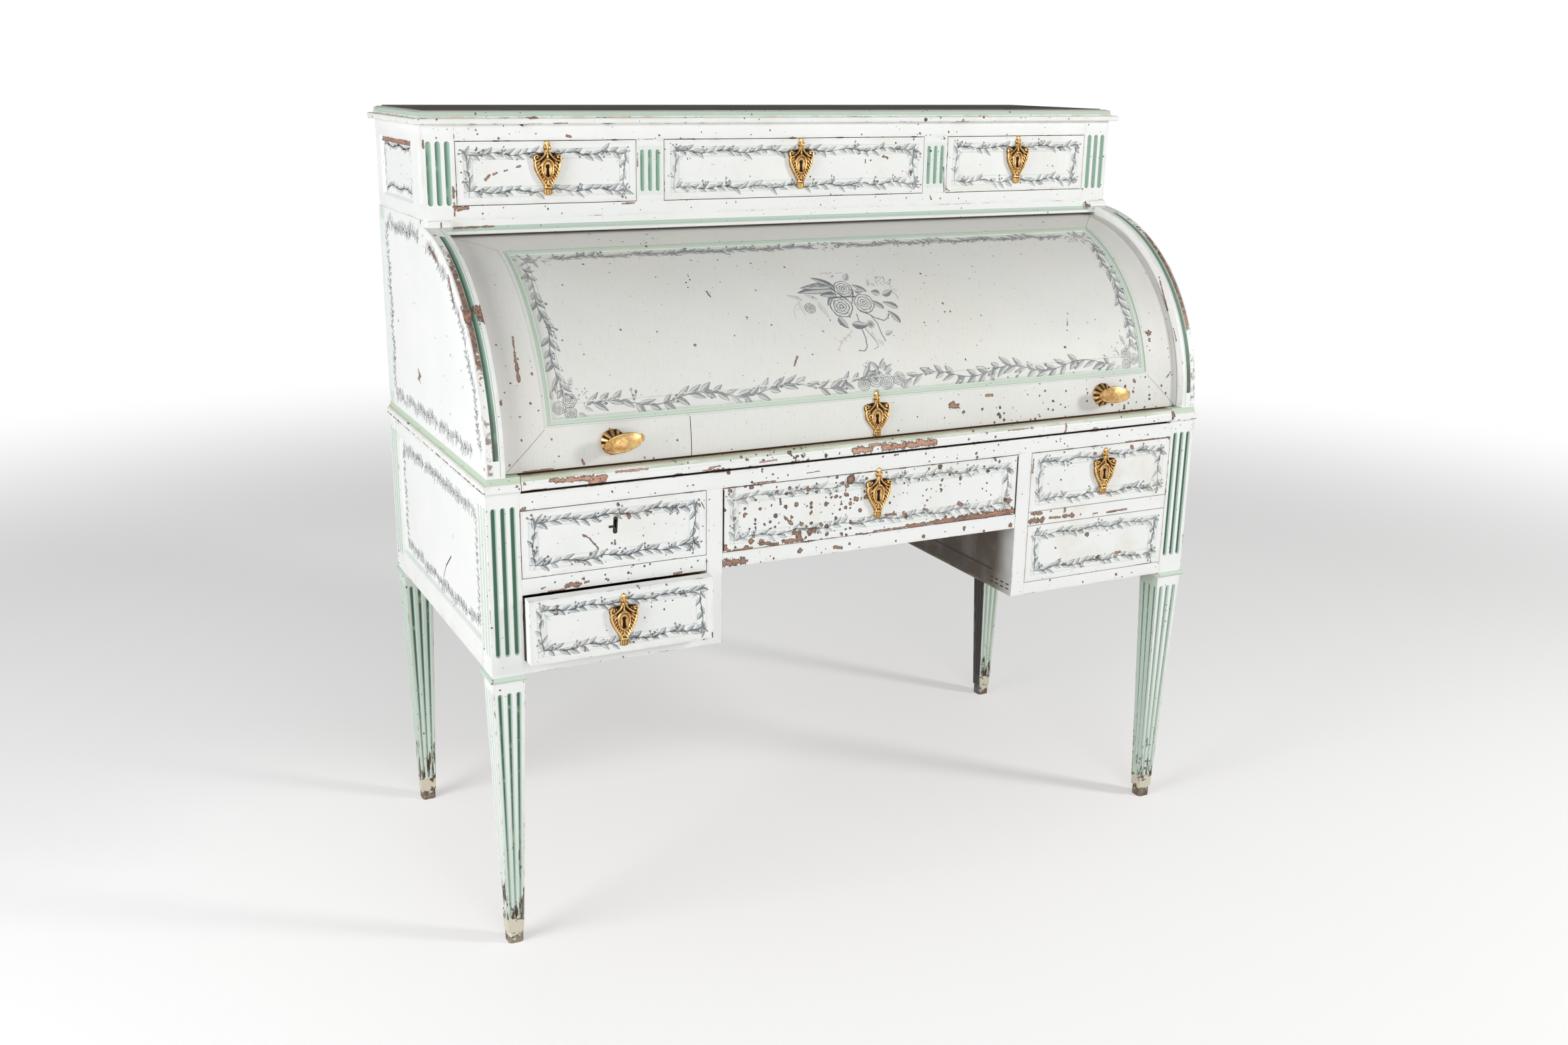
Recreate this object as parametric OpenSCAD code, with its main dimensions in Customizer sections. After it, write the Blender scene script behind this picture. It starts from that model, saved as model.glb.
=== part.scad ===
/* [Case] */
// Width over the corner posts
case_w = 1300; // [1240:10:1360]
// Depth from the front face to the back
case_d = 602; // [596:1:620]
// Height of the case's underside above the floor
leg_h = 459; // [430:1:480]
// Height of the lower case, from its underside to the waist moulding
case_h = 280; // [270:1:300]
// Side of a square corner post
post_w = 50; // [46:1:56]
// Thickness of the side panels, behind the posts' outer faces
side_t = 20; // [16:1:24]
// Depth that the side panels' fields lie below their rails
side_recess = 5; // [2:1:8]
// Height of the bottom rail of a side panel
side_rail_low = 40; // [30:1:50]
// Height of the top rail of a side panel
side_rail_top = 23; // [18:1:30]
// Height of the sloping edge between a rail and the sunk field
side_slope = 6; // [3:1:10]
// Thickness of the back panels
back_t = 12; // [8:1:14]
// Depth of the front rails, from front to back
rail_d = 24; // [20:1:30]
// Thickness of the bed under the writing slide
bed_t = 12; // [10:1:14]

/* [Front openings] */
// Clear width of the knee hole
knee_w = 550; // [500:10:580]
// Clear height of the knee hole above the floor
knee_h = 583; // [570:1:595]
// Width of the upright on each side of the knee hole
stile_w = 27; // [24:1:32]
// Height of the rail under the upper drawers
mid_rail_h = 25; // [22:1:30]
// Height of the rail above the upper drawers
top_rail_h = 26; // [22:1:30]
// Height of the rail under the lower drawers
low_rail_h = 21; // [18:1:26]
// Width of a runner under a drawer's side
runner_w = 22; // [18:1:28]
// Thickness of the dust boards between the runners
dust_t = 8; // [6:1:10]
// Height of the guides that steer the drawers beside the posts
guide_h = 12; // [8:1:16]

/* [Legs] */
// Width of a leg at the floor
foot_w = 24; // [20:1:30]
// Height of the bare, chamfered tip of a leg
tip_h = 20; // [12:1:28]
// Height of the collar at the top of a leg
collar_h = 9; // [7:1:12]
// Amount that the collar stands out from the post
collar_out = 5; // [3:0.5:7]
// Height above the floor at which the leg's flutes start
leg_flute_z = 45; // [36:1:60]
// Distance from the flutes' upper ends to the collar
leg_flute_gap = 18; // [12:1:30]

/* [Flutes] */
// Number of flutes on a face
flute_n = 3; // [2:1:3]
// Radius of a flute at full width
flute_r = 4.5; // [3:0.1:5]
// Radius of a leg's flute at its lower end
flute_r_low = 2.3; // [1.5:0.1:3]
// Distance between the flutes of a post
flute_pitch = 14.5; // [12:0.1:15]
// Share of the radius that a flute's axis lies outside the face
flute_lift = 0.12; // [0:0.01:0.3]
// Distance from the case's underside to the post's flutes
post_flute_low = 31; // [20:1:40]
// Distance from the flutes' upper ends to the top of the post
post_flute_top = 18; // [12:1:30]

/* [Waist] */
// Height of the waist moulding
waist_h = 26; // [24:1:30]
// Amount that the waist moulding's band stands out
waist_out = 3.5; // [2:0.5:6]
// Height of the neck under the band
waist_neck = 3; // [2:0.5:4]
// Height of the band
waist_band = 12; // [9:0.5:14]
// Width of the waist moulding's return across the front
return_w = 56; // [54:1:62]
// Depth of that return
return_d = 30; // [26:1:36]

/* [Writing slide] */
// Thickness of the writing slide
slide_t = 18; // [14:1:20]
// Height of the slide's underside above the top rail
slide_up = 6; // [4:0.5:7]
// Width of the runners that the slide rests on
slide_runner_w = 36; // [24:1:50]
// Depth of the slide's front moulding
slide_nose = 14; // [10:1:20]
// Distance from the slide's rear edge to the back panel
slide_short = 6; // [3:1:12]
// Distance from the leather to the slide's side and front edges
leather_edge = 40; // [30:1:60]
// Depth of the leather, from front to back
leather_d = 290; // [240:10:310]
// Thickness of the leather
leather_t = 1.2; // [0.8:0.1:2]

/* [Cylinder] */
// Radius of the curved front edge of a cheek
cheek_r = 326; // [320:1:330]
// Thickness of a cheek
cheek_t = 28; // [24:1:32]
// Set-back of a cheek's outer face from the post's outer face
cheek_in = 3; // [2:1:6]
// Height of the cylinder's axis above the waist moulding
axis_up = 4; // [3:0.5:8]
// Height from the top of a cheek's curve to the upper case
cheek_neck = 8.5; // [8:0.5:14]
// Distance from a cheek's outer face to the middle of its curved flute
groove_in = 15; // [12:0.5:17]
// Angle of the curved flute's lower end
groove_low_a = 3.8; // [3:0.1:8]
// Angle of the curved flute's upper end
groove_high_a = 75.8; // [70:0.1:77]
// Depth that the cylinder lies inside the cheeks' edges
cyl_set = 15; // [13:1:20]
// Thickness of the cylinder's shell
cyl_t = 18; // [14:1:20]
// Gap between the cylinder's ends and the cheeks
cyl_gap = 1.5; // [1:0.5:3]
// Angle of the shell's lower edge, from the horizontal
cyl_low_a = -0.6; // [-0.6:0.05:-0.4]
// Angle of the shell's upper edge
cyl_high_a = 88; // [84:1:89]
// Thickness of an iron pivot arm
arm_t = 6; // [4:1:8]
// Width of an iron pivot arm
arm_w = 22; // [16:1:30]
// Width of the arm's rim that is screwed to the cylinder
arm_rim = 12; // [8:1:16]
// Distance from an arm to the cylinder's end
arm_off = 3; // [2:0.5:8]
// Radius of the hub of a pivot arm
hub_r = 16; // [12:1:16]
// Radius of a pivot pin
pin_r = 6; // [5:0.5:7]
// Length of a pivot pin inside its cheek
pin_in = 12; // [8:1:16]
// Angle of the handles above the cylinder's axis
handle_a = 5.6; // [4:0.2:8]
// Number of ribs on a handle's fluted cone
fan_n = 16; // [12:1:20]
// Radius of a handle's cone at its seat
fan_r = 20; // [17:1:24]
// Length of a handle's leaf
leaf_long = 52; // [44:1:60]
// Height of a handle's leaf
leaf_tall = 34; // [28:1:40]
// Distance that a handle stands out
handle_out = 35; // [28:1:38]
// Distance from the left handle to the cylinder's left end
handle_left = 182.5; // [150:0.5:220]
// Distance from the right handle to the cylinder's right end
handle_right = 147.5; // [120:0.5:220]
// Turn of the left handle's leaf
turn_left_a = 12; // [0:1:20]
// Turn of the right handle's leaf
turn_right_a = -3; // [-10:1:10]
// Radius of the leaf's dome
dome_r = 42; // [36:1:60]

/* [Cylinder field] */
// Width of the plain border beside the moulded frame
field_in = 67.5; // [50:0.5:110]
// Angle of the moulded frame's lower edge
field_low_a = 11; // [8:0.5:14]
// Angle of the moulded frame's upper edge
field_high_a = 70; // [62:0.5:74]
// Width of the frame's moulding
field_w = 11; // [8:1:14]
// Height of the moulding above the cylinder
field_out = 2.5; // [1.5:0.1:3]
// Width of the sunk border inside the moulding
border_w = 22; // [14:1:30]
// Depth of that sunk border
border_sink = 1.5; // [0.8:0.1:3]

/* [Upper case] */
// Distance that the upper case's front stands before the cylinder's axis
upper_over = 28; // [26:1:32]
// Amount that the upper case is narrower than the posts, each side
upper_in = 5; // [4:1:10]
// Height of the upper case, to the cornice
upper_h = 143.5; // [135:0.5:155]
// Height of the rail under the upper case's drawers
upper_rail_low = 20.5; // [18:0.5:26]
// Height of the rail over them
upper_rail_top = 25; // [20:1:30]
// Width of an outer pilaster
pilaster_out_w = 52; // [48:1:58]
// Width of an inner pilaster
pilaster_in_w = 47.5; // [42:0.5:52]
// Width of the upper case's middle drawer
upper_mid_w = 495; // [460:5:520]
// Thickness of the boards behind the inner pilasters
divider_t = 12; // [8:1:16]
// Thickness of the floor board of the upper case
upper_floor_t = 15; // [12:1:18]
// Radius of the inner pilasters' flutes
flute_r_small = 3.6; // [2.5:0.1:4]
// Distance between the inner pilasters' flutes
pitch_small = 13.5; // [11:0.1:14]
// Distance from an inner pilaster's ends to its flutes
flute_end_small = 16; // [10:1:20]
// Radius of the thin lines on the case's sides
line_r = 2; // [1:0.1:2.5]
// Distance between the thin lines
line_pitch = 7; // [6:0.1:8]
// Distance from a corner to the middle one of the thin lines
line_in = 15; // [12:1:18]

/* [Cove rail] */
// Height of the moulded rail under the upper case
cove_h = 22.5; // [21:0.5:23]
// Amount that the rail's lip stands out in front of the upper case
cove_out = 11.5; // [9:0.5:13]
// Height of the rail's lip
cove_lip = 5.5; // [4:0.5:7]
// Height of the rail's plain upper band
cove_band = 11; // [9:0.5:13]
// Width of the block at each end of the rail
block_w = 36; // [32:1:40]

/* [Cornice] */
// Amount that the cornice stands out
cornice_out = 13; // [9:1:16]
// Height of the cornice's lower member
cornice_low = 9; // [7:0.5:11]
// Height of the whole cornice
cornice_h = 19.6; // [17:0.2:22]
// Width of the cornice's frame behind the upper case's face
cornice_in = 12; // [9:1:16]
// Thickness of the top board
top_t = 21; // [20:0.2:24]

/* [Pigeonholes] */
// Gap between the writing slide and the pigeonhole unit over it
nest_up = 1.8; // [1:0.1:3]
// Gap between the pigeonhole unit and the back panel
nest_back = 55; // [48:1:80]
// Height of the pigeonhole unit
nest_h = 192; // [170:1:196]
// Gap between the pigeonhole unit and the cheeks
nest_gap = 29; // [25:1:49]
// Set-back of the pigeonholes behind the cylinder's axis
nest_set = 26; // [22:1:40]
// Thickness of the pigeonholes' boards
nest_t = 9; // [7:0.5:12]
// Half width of the middle compartment
nest_mid = 200; // [160:10:240]
// Clear height of the small drawers' spaces
nest_drawer_h = 70; // [50:1:90]
// Thickness of a small drawer's walls
nest_wall = 7; // [5:0.5:9]

/* [Drawers] */
// Thickness of a drawer front
front_t = 20; // [16:1:22]
// Gap round a drawer front
reveal = 1.2; // [0.8:0.1:2]
// Gap between a drawer box and its guides
run_gap = 1; // [0.6:0.1:1.5]
// Gap between a resting drawer or slide and its runner
rest_gap = 0.3; // [0.2:0.05:0.5]
// Thickness of a drawer's sides and back
box_t = 11; // [8:1:14]
// Thickness of a drawer's bottom
bottom_t = 9; // [6:1:11]
// Width of the flat rim round a drawer front
rim_w = 11; // [8:1:16]
// Width of the slope inside the rim
slope_w = 16; // [10:1:20]
// Depth of the sunk field of a drawer front
dish_deep = 3; // [2:0.5:5]
// Distance that the lower left drawer stands open
stand_open = 28; // [0:1:60]
// Distance from a lower drawer's box to the back panel
box_short = 30; // [20:5:60]
// Height of a drawer's space lost above its box
box_low = 12; // [8:1:20]

/* [Lock plates] */
// Height of a lock plate
plate_h = 84; // [70:1:88]
// Width of a lock plate
plate_w = 46; // [38:1:52]
// Thickness of a lock plate's ground
plate_t = 2; // [1.5:0.1:3]
// Full relief of a lock plate
plate_out = 6; // [4:0.5:8]
// Radius of a keyhole
key_r = 2.8; // [2:0.1:3.5]
// Distance of the middle drawer's keyhole below the top rail
key_down = 39; // [34:1:44]
// Distance of the middle drawer's keyhole from its middle
key_centre_x = 2.6; // [0:0.1:5]
// Amount that the upper left keyhole lies higher
key_left_up = 4; // [0:1:8]
// Distance of the right keyhole from its drawer's middle
key_right_x = 7; // [0:1:10]
// Amount that the right keyhole lies lower
key_right_down = 10; // [0:1:14]
// Distance of the upper middle keyhole from its drawer's middle
key_top_x = 3.5; // [0:0.5:6]
// Height of the upper case's keyholes above their drawers' middle
key_top_up = 5; // [0:1:8]
// Distance of the upper outer keyholes from their drawers' middle
key_side_x = 1; // [0:0.5:4]
// Height of the cylinder's keyhole above the waist moulding
key_up = 34; // [30:0.5:40]
// Distance of the cylinder's keyhole from the middle
key_aside = 5; // [0:0.5:8]
// Depth of a keyhole
key_deep = 10; // [6:1:12]

/* [Hidden] */
$fn = 64;
case_x = case_w / 2;
post_x = case_x - post_w;
knee_x = knee_w / 2;
bay_x = knee_x + stile_w;
case_top = leg_h + case_h;
waist_top = case_top + waist_h;
mid_top = knee_h + mid_rail_h;
bay_top = case_top - top_rail_h;
bay_low = leg_h + low_rail_h;
axis_y = cheek_r;
upper_set = axis_y - upper_over;
axis_z = waist_top + axis_up;
cyl_r = cheek_r - cyl_set;
cyl_in = cyl_r - cyl_t;
cheek_x = case_x - cheek_in;
cheek_ix = cheek_x - cheek_t;
cyl_x = cheek_ix - cyl_gap;
upper_z = axis_z + cheek_r + cheek_neck;
upper_x = case_x - upper_in;
upper_top = upper_z + upper_h;
row_low = upper_z + upper_rail_low;
row_top = upper_top - upper_rail_top;
row_out = upper_x - pilaster_out_w;
row_mid = upper_mid_w / 2;
row_in = row_mid + pilaster_in_w;
back_y = case_d - back_t;
bed_low = case_top - bed_t;
slide_low = case_top + slide_up;
slide_top = slide_low + slide_t;
return_x = case_x + waist_out - return_w;
slide_x = return_x - reveal;
nest_z = slide_top + nest_up;
nest_y = axis_y + nest_set;
mid_y = (case_d - stand_open - plate_out) / 2;
flute_push = flute_lift * flute_r;
box_end = back_y - box_short;
bay_mid = (bay_x + post_x) / 2;
key_row = bay_top - key_down;
row_key = (row_in + row_out) / 2 + key_side_x;
row_key_z = (row_low + row_top) / 2 + key_top_up;
right_key_z = key_row - key_right_down;
to_degrees = 180 / PI;
key_x_cyl = key_aside;
key_z_cyl = waist_top + key_up;
nest_x = cheek_ix - nest_gap;
nest_d = back_y - nest_back - nest_y;
field_x = cyl_x - field_in;

paint = [0.90, 0.92, 0.92];
paint_warm = [0.87, 0.86, 0.84];
green = [0.74, 0.84, 0.77];
raw_wood = [0.62, 0.47, 0.36];
dark_wood = [0.34, 0.30, 0.28];
gilt = [0.80, 0.60, 0.26];
iron = [0.25, 0.25, 0.26];
hide = [0.28, 0.36, 0.28];

// Places a child drawn from the case's front corner over the origin
module desk() translate([0, -mid_y, 0]) children();

// Draws the child on the left of the desk, where x is negative
module flip() mirror([1, 0, 0]) children();

// A box between two corners
module slab(p, q) translate(p) cube(q - p);

// A profile in x and z, drawn out along y
module along_y(y0, y1) translate([0, y1, 0]) rotate([90, 0, 0]) linear_extrude(y1 - y0) children();

// A profile in y and z, drawn out along x
module along_x(x0, x1) translate([x0, 0, 0]) rotate([90, 0, 90]) linear_extrude(x1 - x0) children();

// Turns the z axis from p towards q
module towards(p, q) {
  d = q - p;
  translate(p)
    rotate([0, acos(d[2] / norm(d)), atan2(d[1], d[0])])
      children();
}

// The cutter for one round-ended flute, from p to q, with radii r0 and r1
module flute(p, q, r0, r1) {
  l = norm(q - p);
  arc = [0, 30, 60];
  towards(p, q) rotate_extrude($fn = 24) polygon(concat(
    [for (a = arc) [r0 * sin(a), -r0 * cos(a)]],
    [[r0, 0], [r1, l]],
    [for (a = [60, 30, 0]) [r1 * sin(a), l + r1 * cos(a)]]));
}

// Upright flutes side by side on a face at y = 0, centred on x = 0
module post_flutes(z0, z1, r, pitch) {
  for (k = [0 : flute_n - 1]) {
    x = (k - (flute_n - 1) / 2) * pitch;
    flute([x, -flute_lift * r, z0 + r], [x, -flute_lift * r, z1 - r], r, r);
  }
}

// Tapering flutes on one face of a leg whose axis is the z axis
module leg_flutes() {
  z1 = leg_h - collar_h - leg_flute_gap;
  h0 = leg_half(leg_flute_z) + flute_lift * flute_r_low;
  h1 = leg_half(z1) + flute_push;
  low_pitch = flute_pitch * leg_half(leg_flute_z) / leg_half(z1);
  for (k = [0 : flute_n - 1]) {
    s = k - (flute_n - 1) / 2;
    flute([s * low_pitch, -h0, leg_flute_z + flute_r_low],
      [s * flute_pitch, -h1, z1 - flute_r], flute_r_low, flute_r);
  }
}

// Half the width of a leg at a height above the floor
function leg_half(z) = foot_w / 2 + (post_w - foot_w) / 2 * min(1, z / (leg_h - collar_h));

// Outline of a leg and its post
module leg_outline() polygon([
  [-foot_w / 2, 0], [foot_w / 2, 0],
  [post_w / 2, leg_h - collar_h], [post_w / 2, case_top],
  [-post_w / 2, case_top], [-post_w / 2, leg_h - collar_h]]);

// Half-round edge of the collar, as a profile that ends at x = w
module collar_profile(w) {
  r = collar_h / 2;
  polygon(concat([[0, -r]],
    [for (a = [-90 : 22.5 : 90]) [w - r + r * cos(a), r * sin(a)]],
    [[0, r]]));
}

// A corner leg with its post, for the corner at positive x; front is true at the front
module leg(front) {
  cx = case_x - post_w / 2;
  cy = front ? post_w / 2 : case_d - post_w / 2;
  reach = post_w + collar_out;
  difference() {
    union() {
      translate([cx, cy, 0]) intersection() {
        along_y(-post_w, post_w) leg_outline();
        along_x(-post_w, post_w) leg_outline();
        union() {
          slab([-post_w, -post_w, tip_h], [post_w, post_w, case_top]);
          rotate([0, 0, 45])
            slab([-foot_w * 0.6, -foot_w * 0.6, 0], [foot_w * 0.6, foot_w * 0.6, tip_h]);
        }
      }
      translate([post_x, 0, leg_h - collar_h / 2]) {
        if (front) intersection() {
          along_y(-collar_out, post_w) collar_profile(reach);
          translate([0, post_w, 0]) rotate([0, 0, -90])
            along_y(-post_w, reach + 1) collar_profile(reach);
        }
        else along_y(case_d - post_w, case_d) collar_profile(reach);
      }
    }
    translate([cx, cy, 0]) for (a = [0 : 90 : 270]) rotate([0, 0, a]) leg_flutes();
    z0 = leg_h + post_flute_low;
    z1 = case_top - post_flute_top;
    if (front) translate([cx, 0, 0]) post_flutes(z0, z1, flute_r, flute_pitch);
    translate([case_x, cy, 0]) rotate([0, 0, 90]) post_flutes(z0, z1, flute_r, flute_pitch);
  }
}

// The lower side panel, at positive x
module lower_side() {
  x1 = case_x;
  along_y(post_w, case_d - post_w) polygon([
    [x1 - side_t, leg_h], [x1, leg_h], [x1, leg_h + side_rail_low],
    [x1 - side_recess, leg_h + side_rail_low + side_slope],
    [x1 - side_recess, case_top - side_rail_top - side_slope],
    [x1, case_top - side_rail_top], [x1, case_top], [x1 - side_t, case_top]]);
}

// The upright beside the knee hole, from front to back, at positive x
module partition() {
  along_x(knee_x, bay_x) polygon([
    [0, leg_h], [back_y, leg_h], [back_y, bed_low],
    [rail_d, bed_low], [rail_d, bay_top], [0, bay_top]]);
}

// A front rail with its runners, dust board and side guide, at positive x
module bay_frame(z0, z1) {
  side = case_x - side_t;
  slab([bay_x, 0, z0], [post_x, rail_d, z1]);
  slab([bay_x, rail_d - 1, z0], [bay_x + runner_w, back_y, z1]);
  slab([post_x - runner_w, rail_d - 1, z0], [post_x, back_y, z1]);
  slab([bay_x, rail_d - 1, z0 + 4], [post_x, back_y, z0 + 4 + dust_t]);
  slab([post_x - 1, post_w, z0], [side, case_d - post_w, z1 + guide_h]);
}

// Outline of the lower back panel, which leaves the knee hole open
module back_outline() polygon([
  [-post_x, leg_h], [-knee_x, leg_h], [-knee_x, knee_h], [knee_x, knee_h],
  [knee_x, leg_h], [post_x, leg_h], [post_x, case_top], [-post_x, case_top]]);

// The bed under the writing slide
module bed() {
  ledge = case_x - side_t;
  slab([-post_x, rail_d, bed_low], [post_x, back_y, case_top]);
  slab([-ledge, post_w, bed_low], [ledge, case_d - post_w, case_top]);
  for (s = [0, 1]) mirror([s, 0, 0]) {
    slab([slide_x - slide_runner_w, rail_d, bed_low], [slide_x, back_y, slide_low - rest_gap]);
    slab([post_x, nest_y, case_top - 1], [cheek_ix, case_d - post_w, nest_z]);
  }
}

// Profile of the waist moulding: out is the distance past the case's face
function waist_points(out_top) = [
  [0, case_top], [0, case_top + waist_neck],
  [waist_out - 1.2, case_top + waist_neck + 0.4],
  [waist_out - 0.3, case_top + waist_neck + 1.4],
  [waist_out, case_top + waist_neck + 3],
  [waist_out, case_top + waist_neck + waist_band - 3],
  [waist_out - 0.3, case_top + waist_neck + waist_band - 1.4],
  [waist_out - 1.2, case_top + waist_neck + waist_band - 0.4],
  [out_top + 1.4, case_top + waist_neck + waist_band + 2.6],
  [out_top + 0.4, case_top + waist_neck + waist_band + 6.4],
  [out_top, waist_top]];

// The waist moulding along a side, with its return across the front
module waist() {
  x0 = return_x;
  difference() {
    intersection() {
      along_y(-waist_out - 1, case_d) polygon(concat(
        [[x0, case_top]],
        [for (p = waist_points(-cheek_in)) [case_x + p[0], p[1]]],
        [[x0, waist_top]]));
      along_x(x0 - 1, case_x + waist_out + 1) polygon(concat(
        [for (p = waist_points(0)) [-p[0], p[1]]],
        [[case_d, waist_top], [case_d, case_top]]));
    }
    slab([x0 - 1, return_d, case_top - 1], [cheek_ix, case_d + 1, waist_top + 1]);
    axis_rod(cheek_ix - 1, cheek_ix + pin_in + 1, pin_r + 0.06);
  }
}

// A curved block about the cylinder's axis, drawn in the case's frame
module arc_block(x0, x1, r0, r1, a0, a1) {
  translate([0, axis_y, axis_z]) rotate([180 - a1, 0, 0]) rotate([90, 0, 90])
    rotate_extrude(angle = a1 - a0, $fn = 180) polygon([[r0, x0], [r1, x0], [r1, x1], [r0, x1]]);
}

// A rod about the cylinder's axis
module axis_rod(x0, x1, r) translate([x0, axis_y, axis_z]) rotate([0, 90, 0]) cylinder(r = r, h = x1 - x0);

// A cheek, at positive x, with its curved front edge
module cheek() {
  groove_x = cheek_x - groove_in;
  line_end = 20;
  difference() {
    union() {
      arc_block(cheek_ix, cheek_x, 0, cheek_r, 0, 90);
      slab([cheek_ix, 0, waist_top], [cheek_x, case_d, axis_z]);
      slab([cheek_ix, axis_y, waist_top], [cheek_x, case_d, upper_z]);
      slab([cheek_ix, upper_set, axis_z + cheek_r / 2], [cheek_x, case_d, upper_z]);
    }
    translate([0, axis_y, axis_z]) rotate([180 - groove_high_a, 0, 0]) rotate([90, 0, 90])
      rotate_extrude(angle = groove_high_a - groove_low_a, $fn = 180)
      translate([cheek_r + flute_push, groove_x])
        circle(r = flute_r, $fn = 24);
    axis_rod(cheek_ix - 1, cheek_ix + pin_in + 1, pin_r + 0.06);
    translate([cheek_x, case_d - line_end, 0]) rotate([0, 0, 90])
      post_flutes(waist_top + line_end, upper_z - line_end, line_r, line_pitch + 1);
  }
}

// The moulded rail under the upper case, with its end blocks
module cove() {
  y0 = upper_set;
  z1 = upper_z;
  z0 = upper_z - cove_h;
  f = y0 - 1.5;
  y_lip = y0 - cove_out;
  rail_x = cheek_ix;
  difference() {
    union() {
      along_x(-rail_x, rail_x) polygon([
        [f, z1], [f, z1 - cove_band], [f - 1, z1 - cove_band - 2.4],
        [f - 3.6, z0 + cove_lip + 1.4], [f - 7, z0 + cove_lip],
        [y_lip + 1.6, z0 + cove_lip], [y_lip + 0.4, z0 + cove_lip - 1],
        [y_lip, z0 + cove_lip / 2], [y_lip + 0.4, z0 + 1], [y_lip + 1.6, z0],
        [y_lip + 4.5, z0], [y_lip + 4.5, z0 + 5], [y0 + rail_d, z0 + 5], [y0 + rail_d, z1]]);
      for (s = [0, 1]) mirror([s, 0, 0])
        along_y(y_lip - 0.5, y0) polygon([
          [cheek_ix - 12, z0 + 5], [cheek_ix - 12, z1 - 0.4],
          [cheek_ix - 12 + block_w - 3, z1 - 0.4], [cheek_ix - 12 + block_w - 1, z1 - 1.6],
          [cheek_ix - 12 + block_w, z1 - 4], [cheek_ix - 12 + block_w, z0 + 5]]);
    }
    for (s = [0, 1]) mirror([s, 0, 0]) axis_rod(cheek_ix - 0.2, cheek_x + 1, cheek_r + 0.2);
  }
}

// A side of the upper case with its fluted corner pilaster, at positive x
module upper_side() {
  deep = 4;
  pad = 34;
  upper_stile = 30;
  side_y = (upper_set + pad + case_d) / 2;
  difference() {
    union() {
      slab([upper_x - side_t, upper_set, upper_z], [upper_x, case_d, upper_top]);
      slab([row_out, upper_set, upper_z], [upper_x, upper_set + rail_d, upper_top]);
    }
    translate([(row_out + upper_x) / 2, upper_set, 0])
      post_flutes(row_low + 1, row_top, flute_r, flute_pitch);
    for (y = [upper_set + line_in, case_d - line_in]) translate([upper_x, y, 0]) rotate([0, 0, 90])
      post_flutes(row_low + 1, row_top, line_r, line_pitch);
    translate([upper_x, side_y, (row_low + row_top) / 2]) rotate([0, 0, 90])
      dish(case_d - upper_set - pad - 2 * upper_stile, row_top - row_low, 5, deep);
  }
}

// The cutter for a sunk field with sloping edges, in a face at y = 0
module dish(w, h, slope, deep) {
  s = slope / deep;
  intersection() {
    translate([0, 0, -h]) linear_extrude(2 * h) polygon([
      [-w / 2 - s, -1], [w / 2 + s, -1], [w / 2 - slope, deep], [-w / 2 + slope, deep]]);
    along_x(-w, w) polygon([
      [-1, -h / 2 - s], [-1, h / 2 + s], [deep, h / 2 - slope], [deep, -h / 2 + slope]]);
  }
}

// An inner pilaster with the two boards behind it, at positive x
module divider() {
  difference() {
    union() {
      slab([row_mid, upper_set, row_low], [row_in, upper_set + rail_d, row_top]);
      slab([row_mid, upper_set, row_low], [row_mid + divider_t, back_y, row_top]);
      slab([row_in - divider_t, upper_set, row_low], [row_in, back_y, row_top]);
    }
    translate([(row_mid + row_in) / 2, upper_set, 0])
      post_flutes(row_low + flute_end_small, row_top - flute_end_small, flute_r_small, pitch_small);
  }
}

// The floor of the upper case
module upper_floor_board() {
  slab([-row_out, upper_set, upper_z], [row_out, upper_set + rail_d, row_low]);
  slab([-upper_x + side_t, upper_set + rail_d, row_low - upper_floor_t],
    [upper_x - side_t, back_y, row_low]);
  for (s = [0, 1]) mirror([s, 0, 0])
    slab([row_out, upper_set + rail_d, row_low - 1], [upper_x - side_t, back_y, row_low + guide_h]);
}

// Profile of the cornice: distance past the face, and height
function cornice_points() = [
  [-cornice_in, 0], [cornice_out - 2, 0], [cornice_out - 0.6, 0.8], [cornice_out, 2.4],
  [cornice_out, cornice_low - 2.4], [cornice_out - 0.6, cornice_low - 0.8],
  [cornice_out - 2, cornice_low], [4, cornice_low], [3, cornice_low + 2.4],
  [1.6, cornice_low + 2.4], [1.6, cornice_h - 2.6], [-1.6, cornice_h - 1],
  [-4, cornice_h], [-cornice_in, cornice_h]];

// The mitred cornice round the front and sides
module cornice_frame() {
  difference() {
    intersection() {
      along_y(upper_set - cornice_out - 1, case_d) polygon(concat(
        [for (p = cornice_points()) if (p[0] > -cornice_in) [upper_x + p[0], upper_top + p[1]]],
        [for (k = [len(cornice_points()) - 1 : -1 : 0])
          let (p = cornice_points()[k]) if (p[0] > -cornice_in) [-upper_x - p[0], upper_top + p[1]]]));
      along_x(-case_w, case_w) polygon(concat(
        [for (p = cornice_points()) if (p[0] > -cornice_in) [upper_set - p[0], upper_top + p[1]]],
        [[case_d, upper_top + cornice_h], [case_d, upper_top]]));
    }
    slab([-upper_x + cornice_in, upper_set + cornice_in, upper_top - 1],
      [upper_x - cornice_in, case_d + 1, upper_top + cornice_h + 1]);
  }
}

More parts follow.
